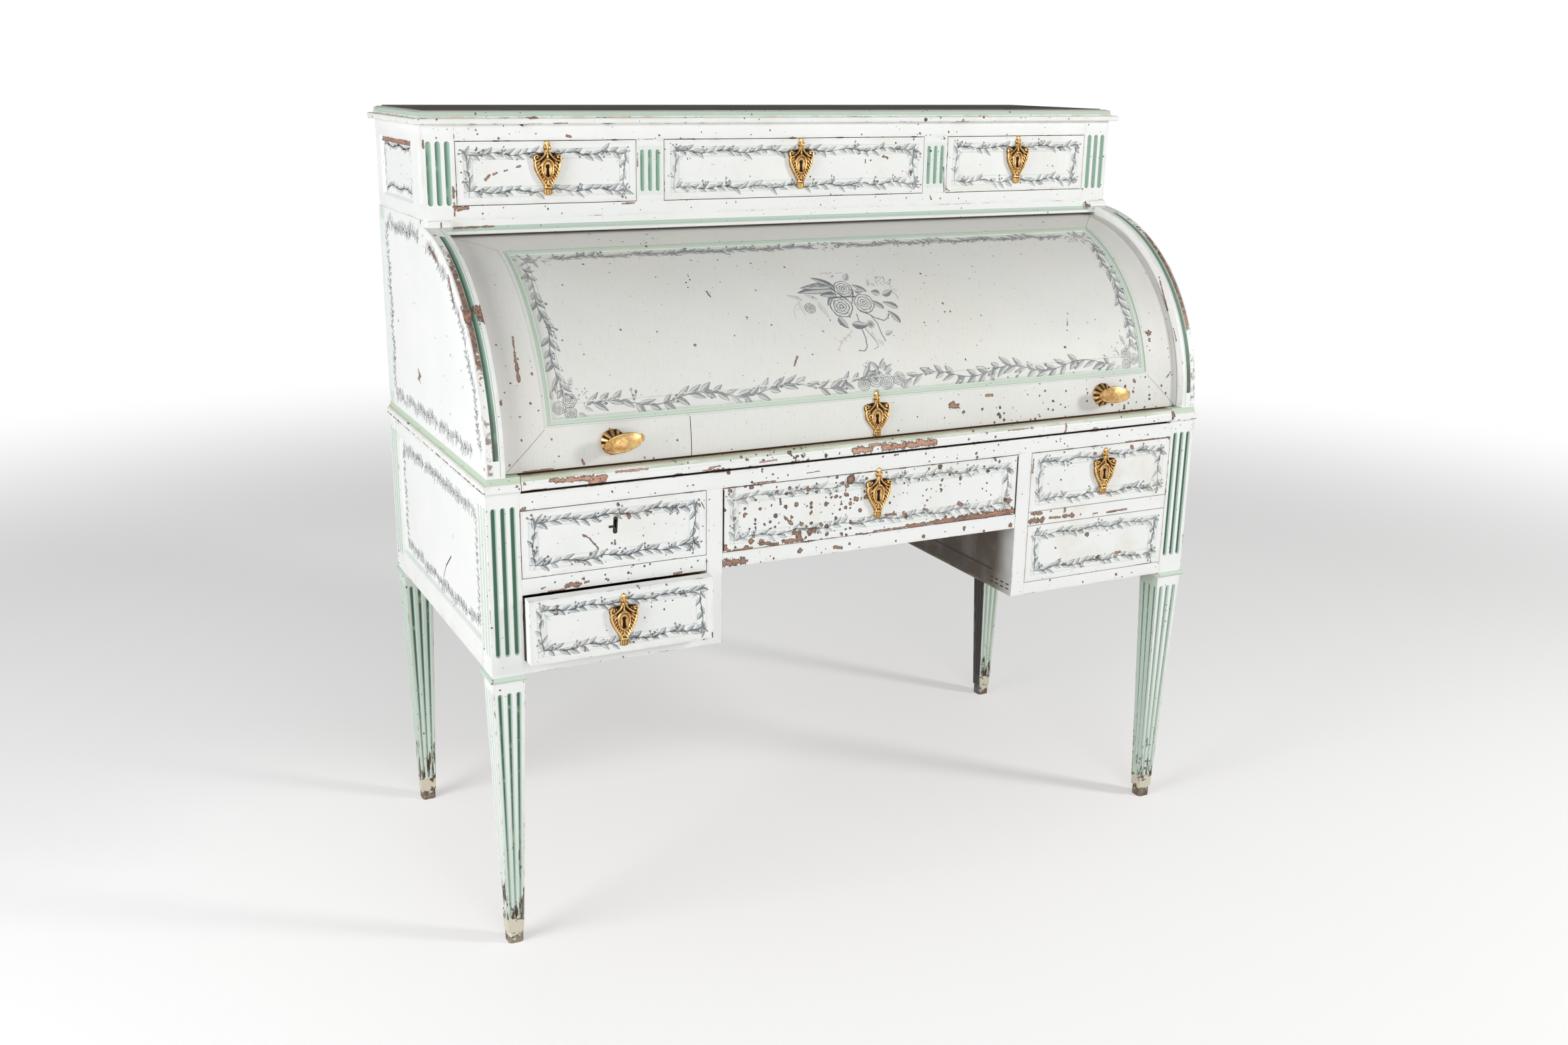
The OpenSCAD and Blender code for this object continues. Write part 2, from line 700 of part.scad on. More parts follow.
// The pigeonhole unit behind the writing space
module nest() {
  y1 = nest_y + nest_d;
  z1 = nest_z + nest_h;
  shelf = nest_z + nest_t + nest_drawer_h;
  bay = (nest_x - nest_mid) / 3;
  slab([-cheek_ix, nest_y, nest_z], [cheek_ix, case_d - post_w, nest_z + nest_t]);
  slab([-nest_x, nest_y, z1 - nest_t], [nest_x, y1, z1]);
  slab([-nest_x, y1 - nest_t, nest_z], [nest_x, y1, z1]);
  for (s = [0, 1]) mirror([s, 0, 0]) {
    slab([nest_x - nest_t, nest_y, nest_z], [nest_x, y1, z1]);
    slab([nest_mid, nest_y, nest_z], [nest_mid + nest_t, y1, z1]);
    slab([nest_mid, nest_y, shelf], [nest_x, y1, shelf + nest_t]);
    for (k = [1, 2])
      slab([nest_mid + k * bay, nest_y + 6, shelf], [nest_mid + k * bay + nest_t, y1, z1]);
  }
}

// A small drawer among the pigeonholes, at positive x
module small_drawer() {
  x0 = nest_mid + nest_t + reveal;
  x1 = nest_x - nest_t - reveal;
  y0 = nest_y + 2;
  y1 = nest_y + nest_d - nest_t - 3;
  z0 = nest_z + nest_t + rest_gap;
  z1 = nest_z + nest_t + nest_drawer_h - reveal;
  t = nest_wall;
  face_more = 3;
  difference() {
    slab([x0, y0, z0], [x1, y1, z1]);
    slab([x0 + t, y0 + t + face_more, z0 + t], [x1 - t, y1 - t, z1 + 1]);
  }
  translate([(x0 + x1) / 2, y0, (z0 + z1) / 2]) rotate([90, 0, 0]) rotate_extrude($fn = 32)
    polygon([[0, -1], [5, -1], [5, 1.4], [3, 3], [3, 7], [7, 10], [8, 13], [6.4, 16], [0, 17]]);
}

// The cylinder's curved shell
module shell() {
  wide = field_w / cyl_r * to_degrees;
  inner = (field_w + border_w) / cyl_r * to_degrees;
  difference() {
    arc_block(-cyl_x, cyl_x, cyl_in, cyl_r, cyl_low_a, cyl_high_a);
    difference() {
      arc_block(-field_x + field_w, field_x - field_w, cyl_r - border_sink, cyl_r + 1,
        field_low_a + wide, field_high_a - wide);
      arc_block(-field_x + field_w + border_w, field_x - field_w - border_w, cyl_in, cyl_r + 2,
        field_low_a + inner, field_high_a - inner);
    }
    translate([key_x_cyl, axis_y - cyl_r - 1, key_z_cyl]) keyhole(key_deep + 1);
  }
}

// One step of the moulded frame, between two insets, raised by out
module frame_step(in0, in1, out) {
  a = in0 / cyl_r * to_degrees;
  b = in1 / cyl_r * to_degrees;
  difference() {
    arc_block(-field_x + in0, field_x - in0, cyl_r, cyl_r + out, field_low_a + a, field_high_a - a);
    arc_block(-field_x + in1, field_x - in1, cyl_r - 1, cyl_r + out + 1,
      field_low_a + b, field_high_a - b);
  }
}

// The moulded frame: a bead, a flat and a smaller bead
module field_frame() {
  difference() {
    union() {
      frame_step(0, 3.4, field_out * 0.7);
      frame_step(0.8, 2.6, field_out);
      frame_step(3, field_w, field_out * 0.4);
      frame_step(field_w - 2.6, field_w - 0.6, field_out * 0.85);
    }
    translate([key_x_cyl, 0, key_z_cyl - 2])
      along_y(axis_y - cyl_r - 9, axis_y - cyl_r + 20) plate_outline(0.03);
  }
}

// An iron arm with its pin, at positive x; the hub is a little thicker than the rim
module arm() {
  x1 = cheek_ix - cyl_gap - arm_off;
  x0 = x1 - arm_t;
  lip = 1;
  spokes = [14, 76];
  arc_block(x0, x1, cyl_in - arm_rim, cyl_in - 0.2, cyl_low_a + 1, cyl_high_a - 1);
  axis_rod(x0 - lip, x1 + lip, hub_r);
  for (a = spokes) translate([x0 + lip, axis_y, axis_z]) rotate([180 - a, 0, 0])
    slab([0, pin_r, -arm_w / 2], [arm_t - 2 * lip, cyl_in - arm_rim / 2, arm_w / 2]);
  axis_rod(x0, cheek_ix + pin_in, pin_r);
}

// A keyhole: a round hole over a slot, cut from a face at y = 0 backwards
module keyhole(deep) {
  translate([0, 0, 2]) rotate([-90, 0, 0]) cylinder(r = key_r, h = deep, $fn = 24);
  slab([-1.3, 0, -8], [1.3, deep, 2]);
}

// The outline of a lock plate, grown outwards by g; the keyhole is at the origin
module plate_outline(g) {
  h = plate_h;
  w = plate_w / 2;
  half = [[0, 0.52], [0.14, 0.50], [0.2, 0.45], [0.24, 0.38], [0.34, 0.33], [0.52, 0.30],
    [0.60, 0.27], [0.86, 0.28], [1, 0.23], [0.98, 0.14], [0.92, 0.02], [0.76, -0.08],
    [0.5, -0.18], [0.3, -0.26], [0.2, -0.31], [0.3, -0.345], [0.24, -0.39],
    [0.27, -0.42], [0.12, -0.46], [0, -0.48]];
  s = 1 + g;
  polygon(concat(
    [for (p = half) [p[0] * w * s, p[1] * h * (1 + g / 2)]],
    [for (k = [len(half) - 2 : -1 : 1]) [-half[k][0] * w * s, half[k][1] * h * (1 + g / 2)]]));
}

// Points of an oval
function oval(a, b, cz) = [for (t = [0 : 15 : 345]) [a * cos(t), cz + b * sin(t)]];

// A gilt lock plate in relief, standing forward of y = 0
module plate() {
  difference() {
    union() {
      along_y(-plate_t, 0) plate_outline(0);
      along_y(-plate_t - 1.2, -plate_t + 0.5) plate_outline(-0.16);
      along_y(-plate_out + 1, -plate_t) polygon(oval(11, 17, 0));
      for (s = [-1, 1]) {
        translate([s * plate_w * 0.37, -plate_t, plate_h * 0.2]) rotate([90, 0, 0])
          rotate_extrude($fn = 24) translate([4, 0.6]) circle(r = 2, $fn = 16);
        translate([s * plate_w * 0.37, -plate_t - 0.6, plate_h * 0.2]) sphere(r = 2.2, $fn = 16);
      }
      for (p = [[0.44, 4], [0.36, 5], [-0.27, 4], [-0.36, 4.4], [-0.43, 3.4]])
        translate([0, p[1] - plate_out, p[0] * plate_h]) sphere(r = p[1], $fn = 16);
    }
    along_y(-plate_out - 1, -plate_t - 1) polygon(oval(8, 14, 0));
    translate([0, -plate_out - 1, 0]) keyhole(plate_out + 2);
    slab([-plate_w, 0, -plate_h], [plate_w, 20, plate_h]);
  }
}

// The lock plate of the cylinder, which follows its curve
module plate_curved() {
  far = 2 * plate_out;
  foot = 1.4;
  y0 = axis_y - cyl_r - far;
  y1 = axis_y - cyl_r + far;
  module layer(r, grow) intersection() {
    translate([key_x_cyl, 0, key_z_cyl - 2]) along_y(y0, y1) plate_outline(grow);
    axis_rod(-plate_w, plate_w, r);
  }
  difference() {
    union() {
      layer(cyl_r + plate_t, -0.04);
      layer(cyl_r + plate_t + 1.2, -0.18);
      intersection() {
        translate([key_x_cyl, 0, key_z_cyl - 2]) along_y(y0, y1) polygon(oval(11, 17, 0));
        axis_rod(-plate_w, plate_w, cyl_r + plate_out - 1);
      }
      translate([key_x_cyl, axis_y - cyl_r, key_z_cyl - 2]) for (s = [-1, 1])
        translate([s * plate_w * 0.35, -plate_t + 1, plate_h * 0.2]) rotate([90, 0, 0])
          rotate_extrude($fn = 24) translate([4, 0.6]) circle(r = 2, $fn = 16);
    }
    axis_rod(-2 * plate_w, 2 * plate_w, cyl_r);
    difference() {
      translate([key_x_cyl, 0, key_z_cyl - 2]) along_y(y0 - 1, y1) polygon(oval(8, 14, 0));
      axis_rod(-2 * plate_w, 2 * plate_w, cyl_r + plate_t + 1);
    }
    translate([key_x_cyl, y0 - 1, key_z_cyl - 2]) keyhole(y1 - y0 + 6);
    slab([-plate_w, y0 - 5, axis_z - plate_h], [plate_w, y1 + 5, waist_top + foot]);
  }
}

// Half the height of a handle's leaf along its length, t from 0 to 1
function leaf_half(t) = leaf_tall / 2 * pow(sin(180 * t), 0.55) * (1 - 0.3 * t)
  + 0.8 * sin(900 * t) * sin(180 * t);

// Outline of the leaf
module leaf_outline() polygon(concat(
  [for (t = [0 : 0.05 : 1]) [(t - 0.5) * leaf_long, leaf_half(t)]],
  [for (t = [0.95 : -0.05 : 0.05]) [(t - 0.5) * leaf_long, -leaf_half(t)]]));

// The domed leaf that the fingers take hold of, with its rolled tip
module leaf() {
  intersection() {
    along_y(-handle_out, -handle_out + 11) leaf_outline();
    translate([0, dome_r - handle_out, 0]) sphere(r = dome_r, $fn = 96);
  }
  translate([leaf_long / 2 - 4, -handle_out + 10, -6]) cylinder(r = 4, h = 12, $fn = 24);
}

// A gilt handle: a fluted cone, a stem and a domed leaf; its seat is at y = 0
module handle(turn) {
  rib_r = fan_r * PI / fan_n * 0.6;
  neck = handle_out * 0.42;
  rotate([90, 0, 0]) translate([0, 0, -2]) cylinder(r1 = fan_r - 2, r2 = 6, h = neck + 2);
  for (k = [0 : fan_n - 1]) rotate([0, 360 / fan_n * k, 0])
    towards([0, 0.5, fan_r - rib_r], [0, -neck, 6])
      cylinder(r1 = rib_r, r2 = rib_r * 0.4, h = norm([neck + 0.5, fan_r - rib_r - 6]), $fn = 24);
  rotate([90, 0, 0]) cylinder(r = 6, h = handle_out - 6, $fn = 32);
  rotate([0, -turn, 0]) leaf();
}

// Both handles, seated on the cylinder
module both_handles() {
  difference() {
    for (p = [[handle_left - cyl_x, turn_left_a], [cyl_x - handle_right, turn_right_a]])
      translate([p[0], axis_y, axis_z]) rotate([-handle_a, 0, 0])
        translate([0, -cyl_r, 0]) handle(p[1]);
    axis_rod(-case_x, case_x, cyl_r);
  }
}

// A drawer front with its sunk field and keyhole; the face is at y = 0
module drawer_front(w, h, key_x, key_z) {
  difference() {
    slab([-w / 2, 0, -h / 2], [w / 2, front_t, h / 2]);
    dish(w - 2 * rim_w, h - 2 * rim_w, slope_w, dish_deep);
    translate([key_x, -1, key_z]) keyhole(key_deep + 1);
  }
}

// The deep right drawer's front, made to look like two drawers over a rail
module deep_front(w, h, split0, split1, key_x, key_z) {
  h0 = split0 + h / 2;
  h1 = h / 2 - split1;
  difference() {
    slab([-w / 2, 0, -h / 2], [w / 2, front_t, h / 2]);
    translate([0, 0, -h / 2 + h0 / 2]) dish(w - 2 * rim_w, h0 - 2 * rim_w, slope_w, dish_deep);
    translate([0, 0, h / 2 - h1 / 2]) dish(w - 2 * rim_w, h1 - 2 * rim_w, slope_w, dish_deep);
    for (z = [split0, split1]) slab([-w, -1, z - 0.6], [w, 1, z + 0.6]);
    translate([key_x, -1, key_z]) keyhole(key_deep + 1);
  }
}

// A drawer box between two corners of its space, open at the top and front
module tray(x0, x1, y0, y1, z0, z1) {
  difference() {
    slab([x0 + run_gap, y0, z0 + rest_gap], [x1 - run_gap, y1, z1 - box_low]);
    slab([x0 + run_gap + box_t, y0 - 1, z0 + rest_gap + bottom_t],
      [x1 - run_gap - box_t, y1 - box_t, z1]);
  }
}

// Places a front in the middle of its opening
module in_opening(x0, x1, y, z0, z1) translate([(x0 + x1) / 2, y, (z0 + z1) / 2]) children();

module leg_front_left() color(paint) desk() flip() leg(true);
module leg_front_right() color(paint) desk() leg(true);
module leg_back_left() color(paint) desk() flip() leg(false);
module leg_back_right() color(paint) desk() leg(false);
module side_left() color(paint) desk() flip() lower_side();
module side_right() color(paint) desk() lower_side();
module back_lower() color(raw_wood) desk() along_y(back_y, case_d) back_outline();
module partition_left() color(paint) desk() flip() partition();
module partition_right() color(paint) desk() partition();
module rail_top() color(paint) desk() slab([-post_x, 0, bay_top], [post_x, rail_d, case_top]);
module rail_left() color(paint) desk() flip() bay_frame(knee_h, mid_top);
module rail_centre() color(paint) desk() {
  slab([-knee_x, 0, knee_h], [knee_x, rail_d, mid_top]);
  slab([-knee_x, rail_d - 1, knee_h], [knee_x, back_y, knee_h + dust_t + 4]);
  for (s = [0, 1]) mirror([s, 0, 0])
    slab([knee_x - runner_w, rail_d - 1, knee_h], [knee_x, back_y, mid_top]);
}
module pedestal_floors() color(paint) desk() {
  bay_frame(leg_h, bay_low);
  flip() bay_frame(leg_h, bay_low);
}
module desk_bed() color(raw_wood) desk() bed();
module waist_left() color(paint) desk() flip() waist();
module waist_right() color(paint) desk() waist();
module cheek_left() color(paint) desk() flip() cheek();
module cheek_right() color(paint) desk() cheek();
module cove_rail() color(paint) desk() cove();
module upper_side_left() color(paint) desk() flip() upper_side();
module upper_side_right() color(paint) desk() upper_side();
module upper_dividers() color(paint) desk() {
  divider();
  flip() divider();
}
module upper_rail() color(paint) desk()
  slab([-row_out, upper_set, row_top], [row_out, upper_set + rail_d, upper_top]);
module upper_floor() color(paint) desk() upper_floor_board();
module cornice() color(paint) desk() cornice_frame();
module top_board() color(dark_wood) desk()
  slab([-upper_x + cornice_in, upper_set + cornice_in, upper_top],
    [upper_x - cornice_in, case_d, upper_top + top_t]);
module back_upper() color(raw_wood) desk() along_y(back_y, case_d) polygon([
  [-cheek_ix, case_top], [cheek_ix, case_top], [cheek_ix, upper_z],
  [upper_x - side_t, upper_z], [upper_x - side_t, upper_top],
  [-upper_x + side_t, upper_top], [-upper_x + side_t, upper_z], [-cheek_ix, upper_z]]);
module pigeonholes() color(raw_wood) desk() nest();
module cylinder_shell() color(paint_warm) desk() shell();
module field_moulding() color(green) desk() field_frame();
module handles() color(gilt) desk() both_handles();
module plate_cylinder() color(gilt) desk() plate_curved();
module pivot_arms() color(iron) desk() {
  arm();
  flip() arm();
}
module slide_board() color(raw_wood) desk() difference() {
  slab([-slide_x, slide_nose - waist_out, slide_low], [slide_x, back_y - slide_short, slide_top]);
  slab([-slide_x + leather_edge, leather_edge, slide_top - leather_t],
    [slide_x - leather_edge, leather_edge + leather_d, slide_top + 1]);
}
module slide_front() color(paint) desk() along_x(-slide_x, slide_x) polygon(concat(
  [for (p = waist_points(0)) if (p[1] > case_top + waist_neck) [-p[0], p[1] + slide_drop(p[1])]],
  [[slide_nose - waist_out, slide_top + 1], [slide_nose - waist_out, slide_low - 1]]));
function slide_drop(z) = 1.2 - 2.2 * (z - case_top) / waist_h;
module slide_leather() color(hide) desk()
  slab([-slide_x + leather_edge + 0.3, leather_edge + 0.3, slide_top - leather_t],
    [slide_x - leather_edge - 0.3, leather_edge + leather_d - 0.3, slide_top]);

// Fronts of the lower case's upper row, with the keyhole's place in each
module upper_row_front(x0, x1, key_x, key_z) in_opening(x0, x1, 0, mid_top, bay_top)
  drawer_front(x1 - x0 - 2 * reveal, bay_top - mid_top - 2 * reveal,
    key_x - (x0 + x1) / 2, key_z - (mid_top + bay_top) / 2);
module front_left_upper() color(paint) desk()
  upper_row_front(-post_x, -bay_x, -bay_mid, key_row + key_left_up);
module box_left_upper() color(raw_wood) desk()
  tray(-post_x, -bay_x, front_t, box_end, mid_top, bay_top);
module front_left_lower() color(paint) desk() translate([0, -stand_open, 0])
  in_opening(-post_x, -bay_x, 0, bay_low, knee_h)
    drawer_front(post_x - bay_x - 2 * reveal, knee_h - bay_low - 2 * reveal, 0, 0);
module box_left_lower() color(raw_wood) desk() translate([0, -stand_open, 0])
  tray(-post_x, -bay_x, front_t, box_end, bay_low, knee_h);
module front_centre() color(paint) desk() upper_row_front(-knee_x, knee_x, key_centre_x, key_row);
module box_centre() color(raw_wood) desk()
  tray(-knee_x, knee_x, front_t, box_end, mid_top, bay_top);
module front_right() color(paint) desk() in_opening(bay_x, post_x, 0, bay_low, bay_top)
  deep_front(post_x - bay_x - 2 * reveal, bay_top - bay_low - 2 * reveal,
    knee_h - (bay_low + bay_top) / 2, mid_top - (bay_low + bay_top) / 2,
    key_right_x, right_key_z - (bay_low + bay_top) / 2);
module box_right() color(raw_wood) desk()
  tray(bay_x, post_x, front_t, box_end, bay_low, bay_top);

// Fronts of the upper case, with the keyhole's place in each
module row_front(x0, x1, key_x) in_opening(x0, x1, upper_set, row_low, row_top)
  drawer_front(x1 - x0 - 2 * reveal, row_top - row_low - 2 * reveal, key_x - (x0 + x1) / 2, key_top_up);
module front_top_left() color(paint) desk() row_front(-row_out, -row_in, -row_key);
module box_top_left() color(raw_wood) desk()
  tray(-row_out, -row_in, upper_set + front_t, back_y - 8, row_low, row_top);
module front_top_centre() color(paint) desk() row_front(-row_mid, row_mid, key_top_x);
module box_top_centre() color(raw_wood) desk()
  tray(-row_mid, row_mid, upper_set + front_t, back_y - 8, row_low, row_top);
module front_top_right() color(paint) desk() row_front(row_in, row_out, row_key);
module box_top_right() color(raw_wood) desk()
  tray(row_in, row_out, upper_set + front_t, back_y - 8, row_low, row_top);
module plate_top_left() color(gilt) desk() translate([-row_key, upper_set, row_key_z]) plate();
module plate_top_centre() color(gilt) desk() translate([key_top_x, upper_set, row_key_z]) plate();
module plate_top_right() color(gilt) desk() translate([row_key, upper_set, row_key_z]) plate();
module plate_centre() color(gilt) desk() translate([key_centre_x, 0, key_row]) plate();
module plate_left_lower() color(gilt) desk()
  translate([-bay_mid, -stand_open, (bay_low + knee_h) / 2]) plate();
module plate_right() color(gilt) desk() translate([bay_mid + key_right_x, 0, right_key_z]) plate();
module small_drawer_left() color(raw_wood) desk() flip() small_drawer();
module small_drawer_right() color(raw_wood) desk() small_drawer();

leg_front_left();
leg_front_right();
leg_back_left();
leg_back_right();
side_left();
side_right();
back_lower();
partition_left();
partition_right();
rail_top();
rail_left();
rail_centre();
pedestal_floors();
desk_bed();
waist_left();
waist_right();
cheek_left();
cheek_right();
cove_rail();
upper_side_left();
upper_side_right();
upper_dividers();
upper_rail();
upper_floor();
cornice();
top_board();
back_upper();
pigeonholes();
cylinder_shell();
field_moulding();
handles();
plate_cylinder();
pivot_arms();
slide_board();
slide_front();
slide_leather();
front_left_upper();
box_left_upper();
front_left_lower();
box_left_lower();
front_centre();
box_centre();
front_right();
box_right();
front_top_left();
box_top_left();
front_top_centre();
box_top_centre();
front_top_right();
box_top_right();
plate_top_left();
plate_top_centre();
plate_top_right();
plate_centre();
plate_left_lower();
plate_right();
small_drawer_left();
small_drawer_right();
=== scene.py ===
import math
import random

import bmesh
import bpy
import numpy as np
from mathutils import Matrix, Vector


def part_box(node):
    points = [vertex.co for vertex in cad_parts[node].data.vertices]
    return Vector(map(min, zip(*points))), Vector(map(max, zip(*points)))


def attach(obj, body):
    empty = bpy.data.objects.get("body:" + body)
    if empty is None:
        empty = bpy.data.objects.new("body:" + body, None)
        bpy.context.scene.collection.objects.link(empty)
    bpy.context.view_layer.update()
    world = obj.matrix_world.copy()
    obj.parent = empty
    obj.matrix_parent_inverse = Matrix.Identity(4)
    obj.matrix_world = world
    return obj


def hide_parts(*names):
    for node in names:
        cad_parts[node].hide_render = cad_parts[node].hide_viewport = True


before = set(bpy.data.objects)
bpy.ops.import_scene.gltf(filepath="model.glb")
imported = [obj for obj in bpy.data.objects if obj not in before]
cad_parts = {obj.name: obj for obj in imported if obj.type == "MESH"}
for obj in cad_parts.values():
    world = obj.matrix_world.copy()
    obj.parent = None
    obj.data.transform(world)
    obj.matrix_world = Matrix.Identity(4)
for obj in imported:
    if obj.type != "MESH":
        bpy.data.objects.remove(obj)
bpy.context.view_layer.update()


# Legs: four square tapered beech legs that run up as the case's corner posts, with three
# green flutes on each shown face, a half-round mint collar and bare, worn feet.
class Wire:
    """One socket of a tree of nodes. Sums and products on wires add Math nodes."""

    def __init__(self, tree, socket=None):
        self.tree, self.socket = tree, socket

    def node(self, kind, settings=None, inputs=None, out=0):
        """Adds a node with these settings and socket values; gives one of its outputs."""
        made = self.tree.nodes.new(kind)
        for key, value in (settings or {}).items():
            setattr(made, key, value)
        for key, value in (inputs or {}).items():
            if isinstance(value, Wire):
                self.tree.links.new(value.socket, made.inputs[key])
            else:
                made.inputs[key].default_value = value
        return Wire(self.tree, made.outputs[out])

    def beside(self, out):
        """Another output of the same node."""
        return Wire(self.tree, self.socket.node.outputs[out])

    def end(self, kind):
        """Joins this wire to the tree's new end node."""
        self.tree.links.new(self.socket, self.tree.nodes.new(kind).inputs[0])

    def math(self, operation, *others, clamp=False):
        return self.node("ShaderNodeMath", {"operation": operation, "use_clamp": clamp},
                         dict(enumerate((self,) + others)))

    def vector(self, operation, *others, out=0):
        places = (0, 3) if operation == "SCALE" else (0, 1, 2)
        return self.node("ShaderNodeVectorMath", {"operation": operation},
                         dict(zip(places, (self,) + others)), out)

    def __add__(self, o):
        return self.math("ADD", o)

    def __sub__(self, o):
        return self.math("SUBTRACT", o)

    def __mul__(self, o):
        return self.math("MULTIPLY", o)

    def __truediv__(self, o):
        return self.math("DIVIDE", o)

    def __rsub__(self, o):
        return self.node("ShaderNodeMath", {"operation": "SUBTRACT"}, {0: o, 1: self})

    def __abs__(self):
        return self.math("ABSOLUTE")

    __radd__, __rmul__ = __add__, __mul__

    def lowest(self, o):
        return self.math("MINIMUM", o)

    def highest(self, o):
        return self.math("MAXIMUM", o)

    def hold(self):
        """Kept between 0 and 1."""
        return self.math("ADD", 0, clamp=True)

    def rise(self, a, b, low=0, high=1):
        """0 at a and 1 at b, with a smooth step between."""
        return self.node("ShaderNodeMapRange", {"interpolation_type": "SMOOTHSTEP"},
                         {0: self, 1: a, 2: b, 3: low, 4: high})

    def fall(self, a, b):
        """1 at a and 0 at b."""
        return self.rise(a, b, 1, 0)

    def line(self, mid, a, b):
        """1 up to a from the middle value and 0 past b."""
        return abs(self - mid).fall(a, b)

    def blend(self, a, b):
        """Colour a where this mask is 0 and colour b where it is 1."""
        return self.node("ShaderNodeMix", {"data_type": "RGBA"}, {0: self, 6: a, 7: b}, out=2)

    def noise(self, size, detail=2, rough=0.5, seed=0, out=0):
        """Cloud noise with patches of about this size, in millimetres; self is a position."""
        return self.node("ShaderNodeTexNoise", {"noise_dimensions": "4D"},
                         {"Vector": self, "W": seed, "Scale": 1 / size, "Detail": detail,
                          "Roughness": rough}, out)

    def stretch(self, x, y, z):
        return self.vector("MULTIPLY", (x, y, z))

    def shift(self, other, amount):
        """This position moved by a noise colour of the other."""
        return self.vector("ADD", other.vector("SUBTRACT", (0.5, 0.5, 0.5)).vector("SCALE", amount))

    def part(self, k):
        return self.node("ShaderNodeSeparateXYZ", None, {0: self}, k)

    def flat(self, u, v):
        """A flat position of two wires."""
        return self.node("ShaderNodeCombineXYZ", None, {0: u, 1: v})

    def near(self, spots):
        """How far inside the nearest spot this flat position lies: 2 in a spot's middle, 0
        at its edge. A spot is (u, v, width) or, drawn out, (u0, v0, u1, v1, width)."""
        best, place = None, self
        for k, (*ends, wide) in enumerate(spots):
            start_at = (ends[0], ends[1], 0)
            if k % 8 == 7:
                # The faint tie makes the renderer work the spots out in small batches
                place = best.vector("MULTIPLY_ADD", (1e-9, 1e-9, 0), self)
            if len(ends) == 2:
                away = place.vector("DISTANCE", start_at, out=1)
            else:
                along = (ends[2] - ends[0], ends[3] - ends[1], 0)
                long = along[0] ** 2 + along[1] ** 2
                apart = place.vector("SUBTRACT", start_at)
                t = apart.vector("DOT_PRODUCT", tuple(c / long for c in along), out=1).hold()
                foot = t.node("ShaderNodeVectorMath", {"operation": "SCALE"}, {0: along, 3: t})
                away = apart.vector("DISTANCE", foot, out=1)
            field = away.math("MULTIPLY_ADD", -4 / wide, 2)
            best = field if best is None else best.highest(field)
        return best


def hue(r, g, b):
    """A colour given as it looks on a screen, 0 to 255, as a shader takes it."""
    line = [c / 255 for c in (r, g, b)]
    return tuple(c / 12.92 if c <= 0.04045 else ((c + 0.055) / 1.055) ** 2.4
                 for c in line) + (1,)


WHITE, MINT = hue(243, 244, 243), hue(184, 211, 192)
# SEAM_AND_GAP_SHADE: painted shade in the narrow gaps between parts, also the colour of the back boards'
# seams
SEAM_AND_GAP_SHADE = hue(50, 44, 40)
MID_Y = 284.0  # from the case's front to the middle of the shared frame


def start(name):
    """A new material and the position in it: millimetres from the case's front, in a Wire."""
    material = bpy.data.materials.new(name)
    material.use_nodes = True
    tree = material.node_tree
    p = Wire(tree).node("ShaderNodeTexCoord", out=3).vector("SCALE", 1000).vector("ADD", (0, MID_Y, 0))
    return material, tree.nodes["Principled BSDF"], p, p.part(0), p.part(1), p.part(2)


def close(shader, colour, rough, height):
    """Joins the finished wires to the material's shader; the height is in millimetres."""
    bump = height.node("ShaderNodeBump", None, {"Strength": 1, "Distance": 0.001, "Height": height})
    for name, wire in (("Base Color", colour), ("Roughness", rough), ("Normal", bump)):
        wire.tree.links.new(wire.socket, shader.inputs[name])


def bare_wood(p):
    """Colour of the wood where paint is lost: greyed brown, with tan and dark fibres."""
    grain = p.stretch(0.12, 0.5, 1).noise(2.2, 4, 0.6)
    tone = grain.rise(0.3, 0.7).blend(hue(148, 112, 95), hue(190, 147, 124))
    return p.noise(40, 3).rise(0.48, 0.72).blend(tone, hue(124, 101, 91))


def arris(x, y, z, low, high):
    """Distance in millimetres from the nearest edge of a box."""
    d = [(b - a) / 2 - abs(w - (a + b) / 2) for w, a, b in zip((x, y, z), low, high)]
    small, large = d[0].lowest(d[1]), d[0].highest(d[1])
    return small.highest(large.lowest(d[2]))


def box_mm(node):
    """A node's box in millimetres in the case's own frame."""
    return [[c.x * 1000, c.y * 1000 + MID_Y, c.z * 1000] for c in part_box(node)]


def from_front(x, y, z):
    return x, z


def from_side(x, y, z):
    return y, z


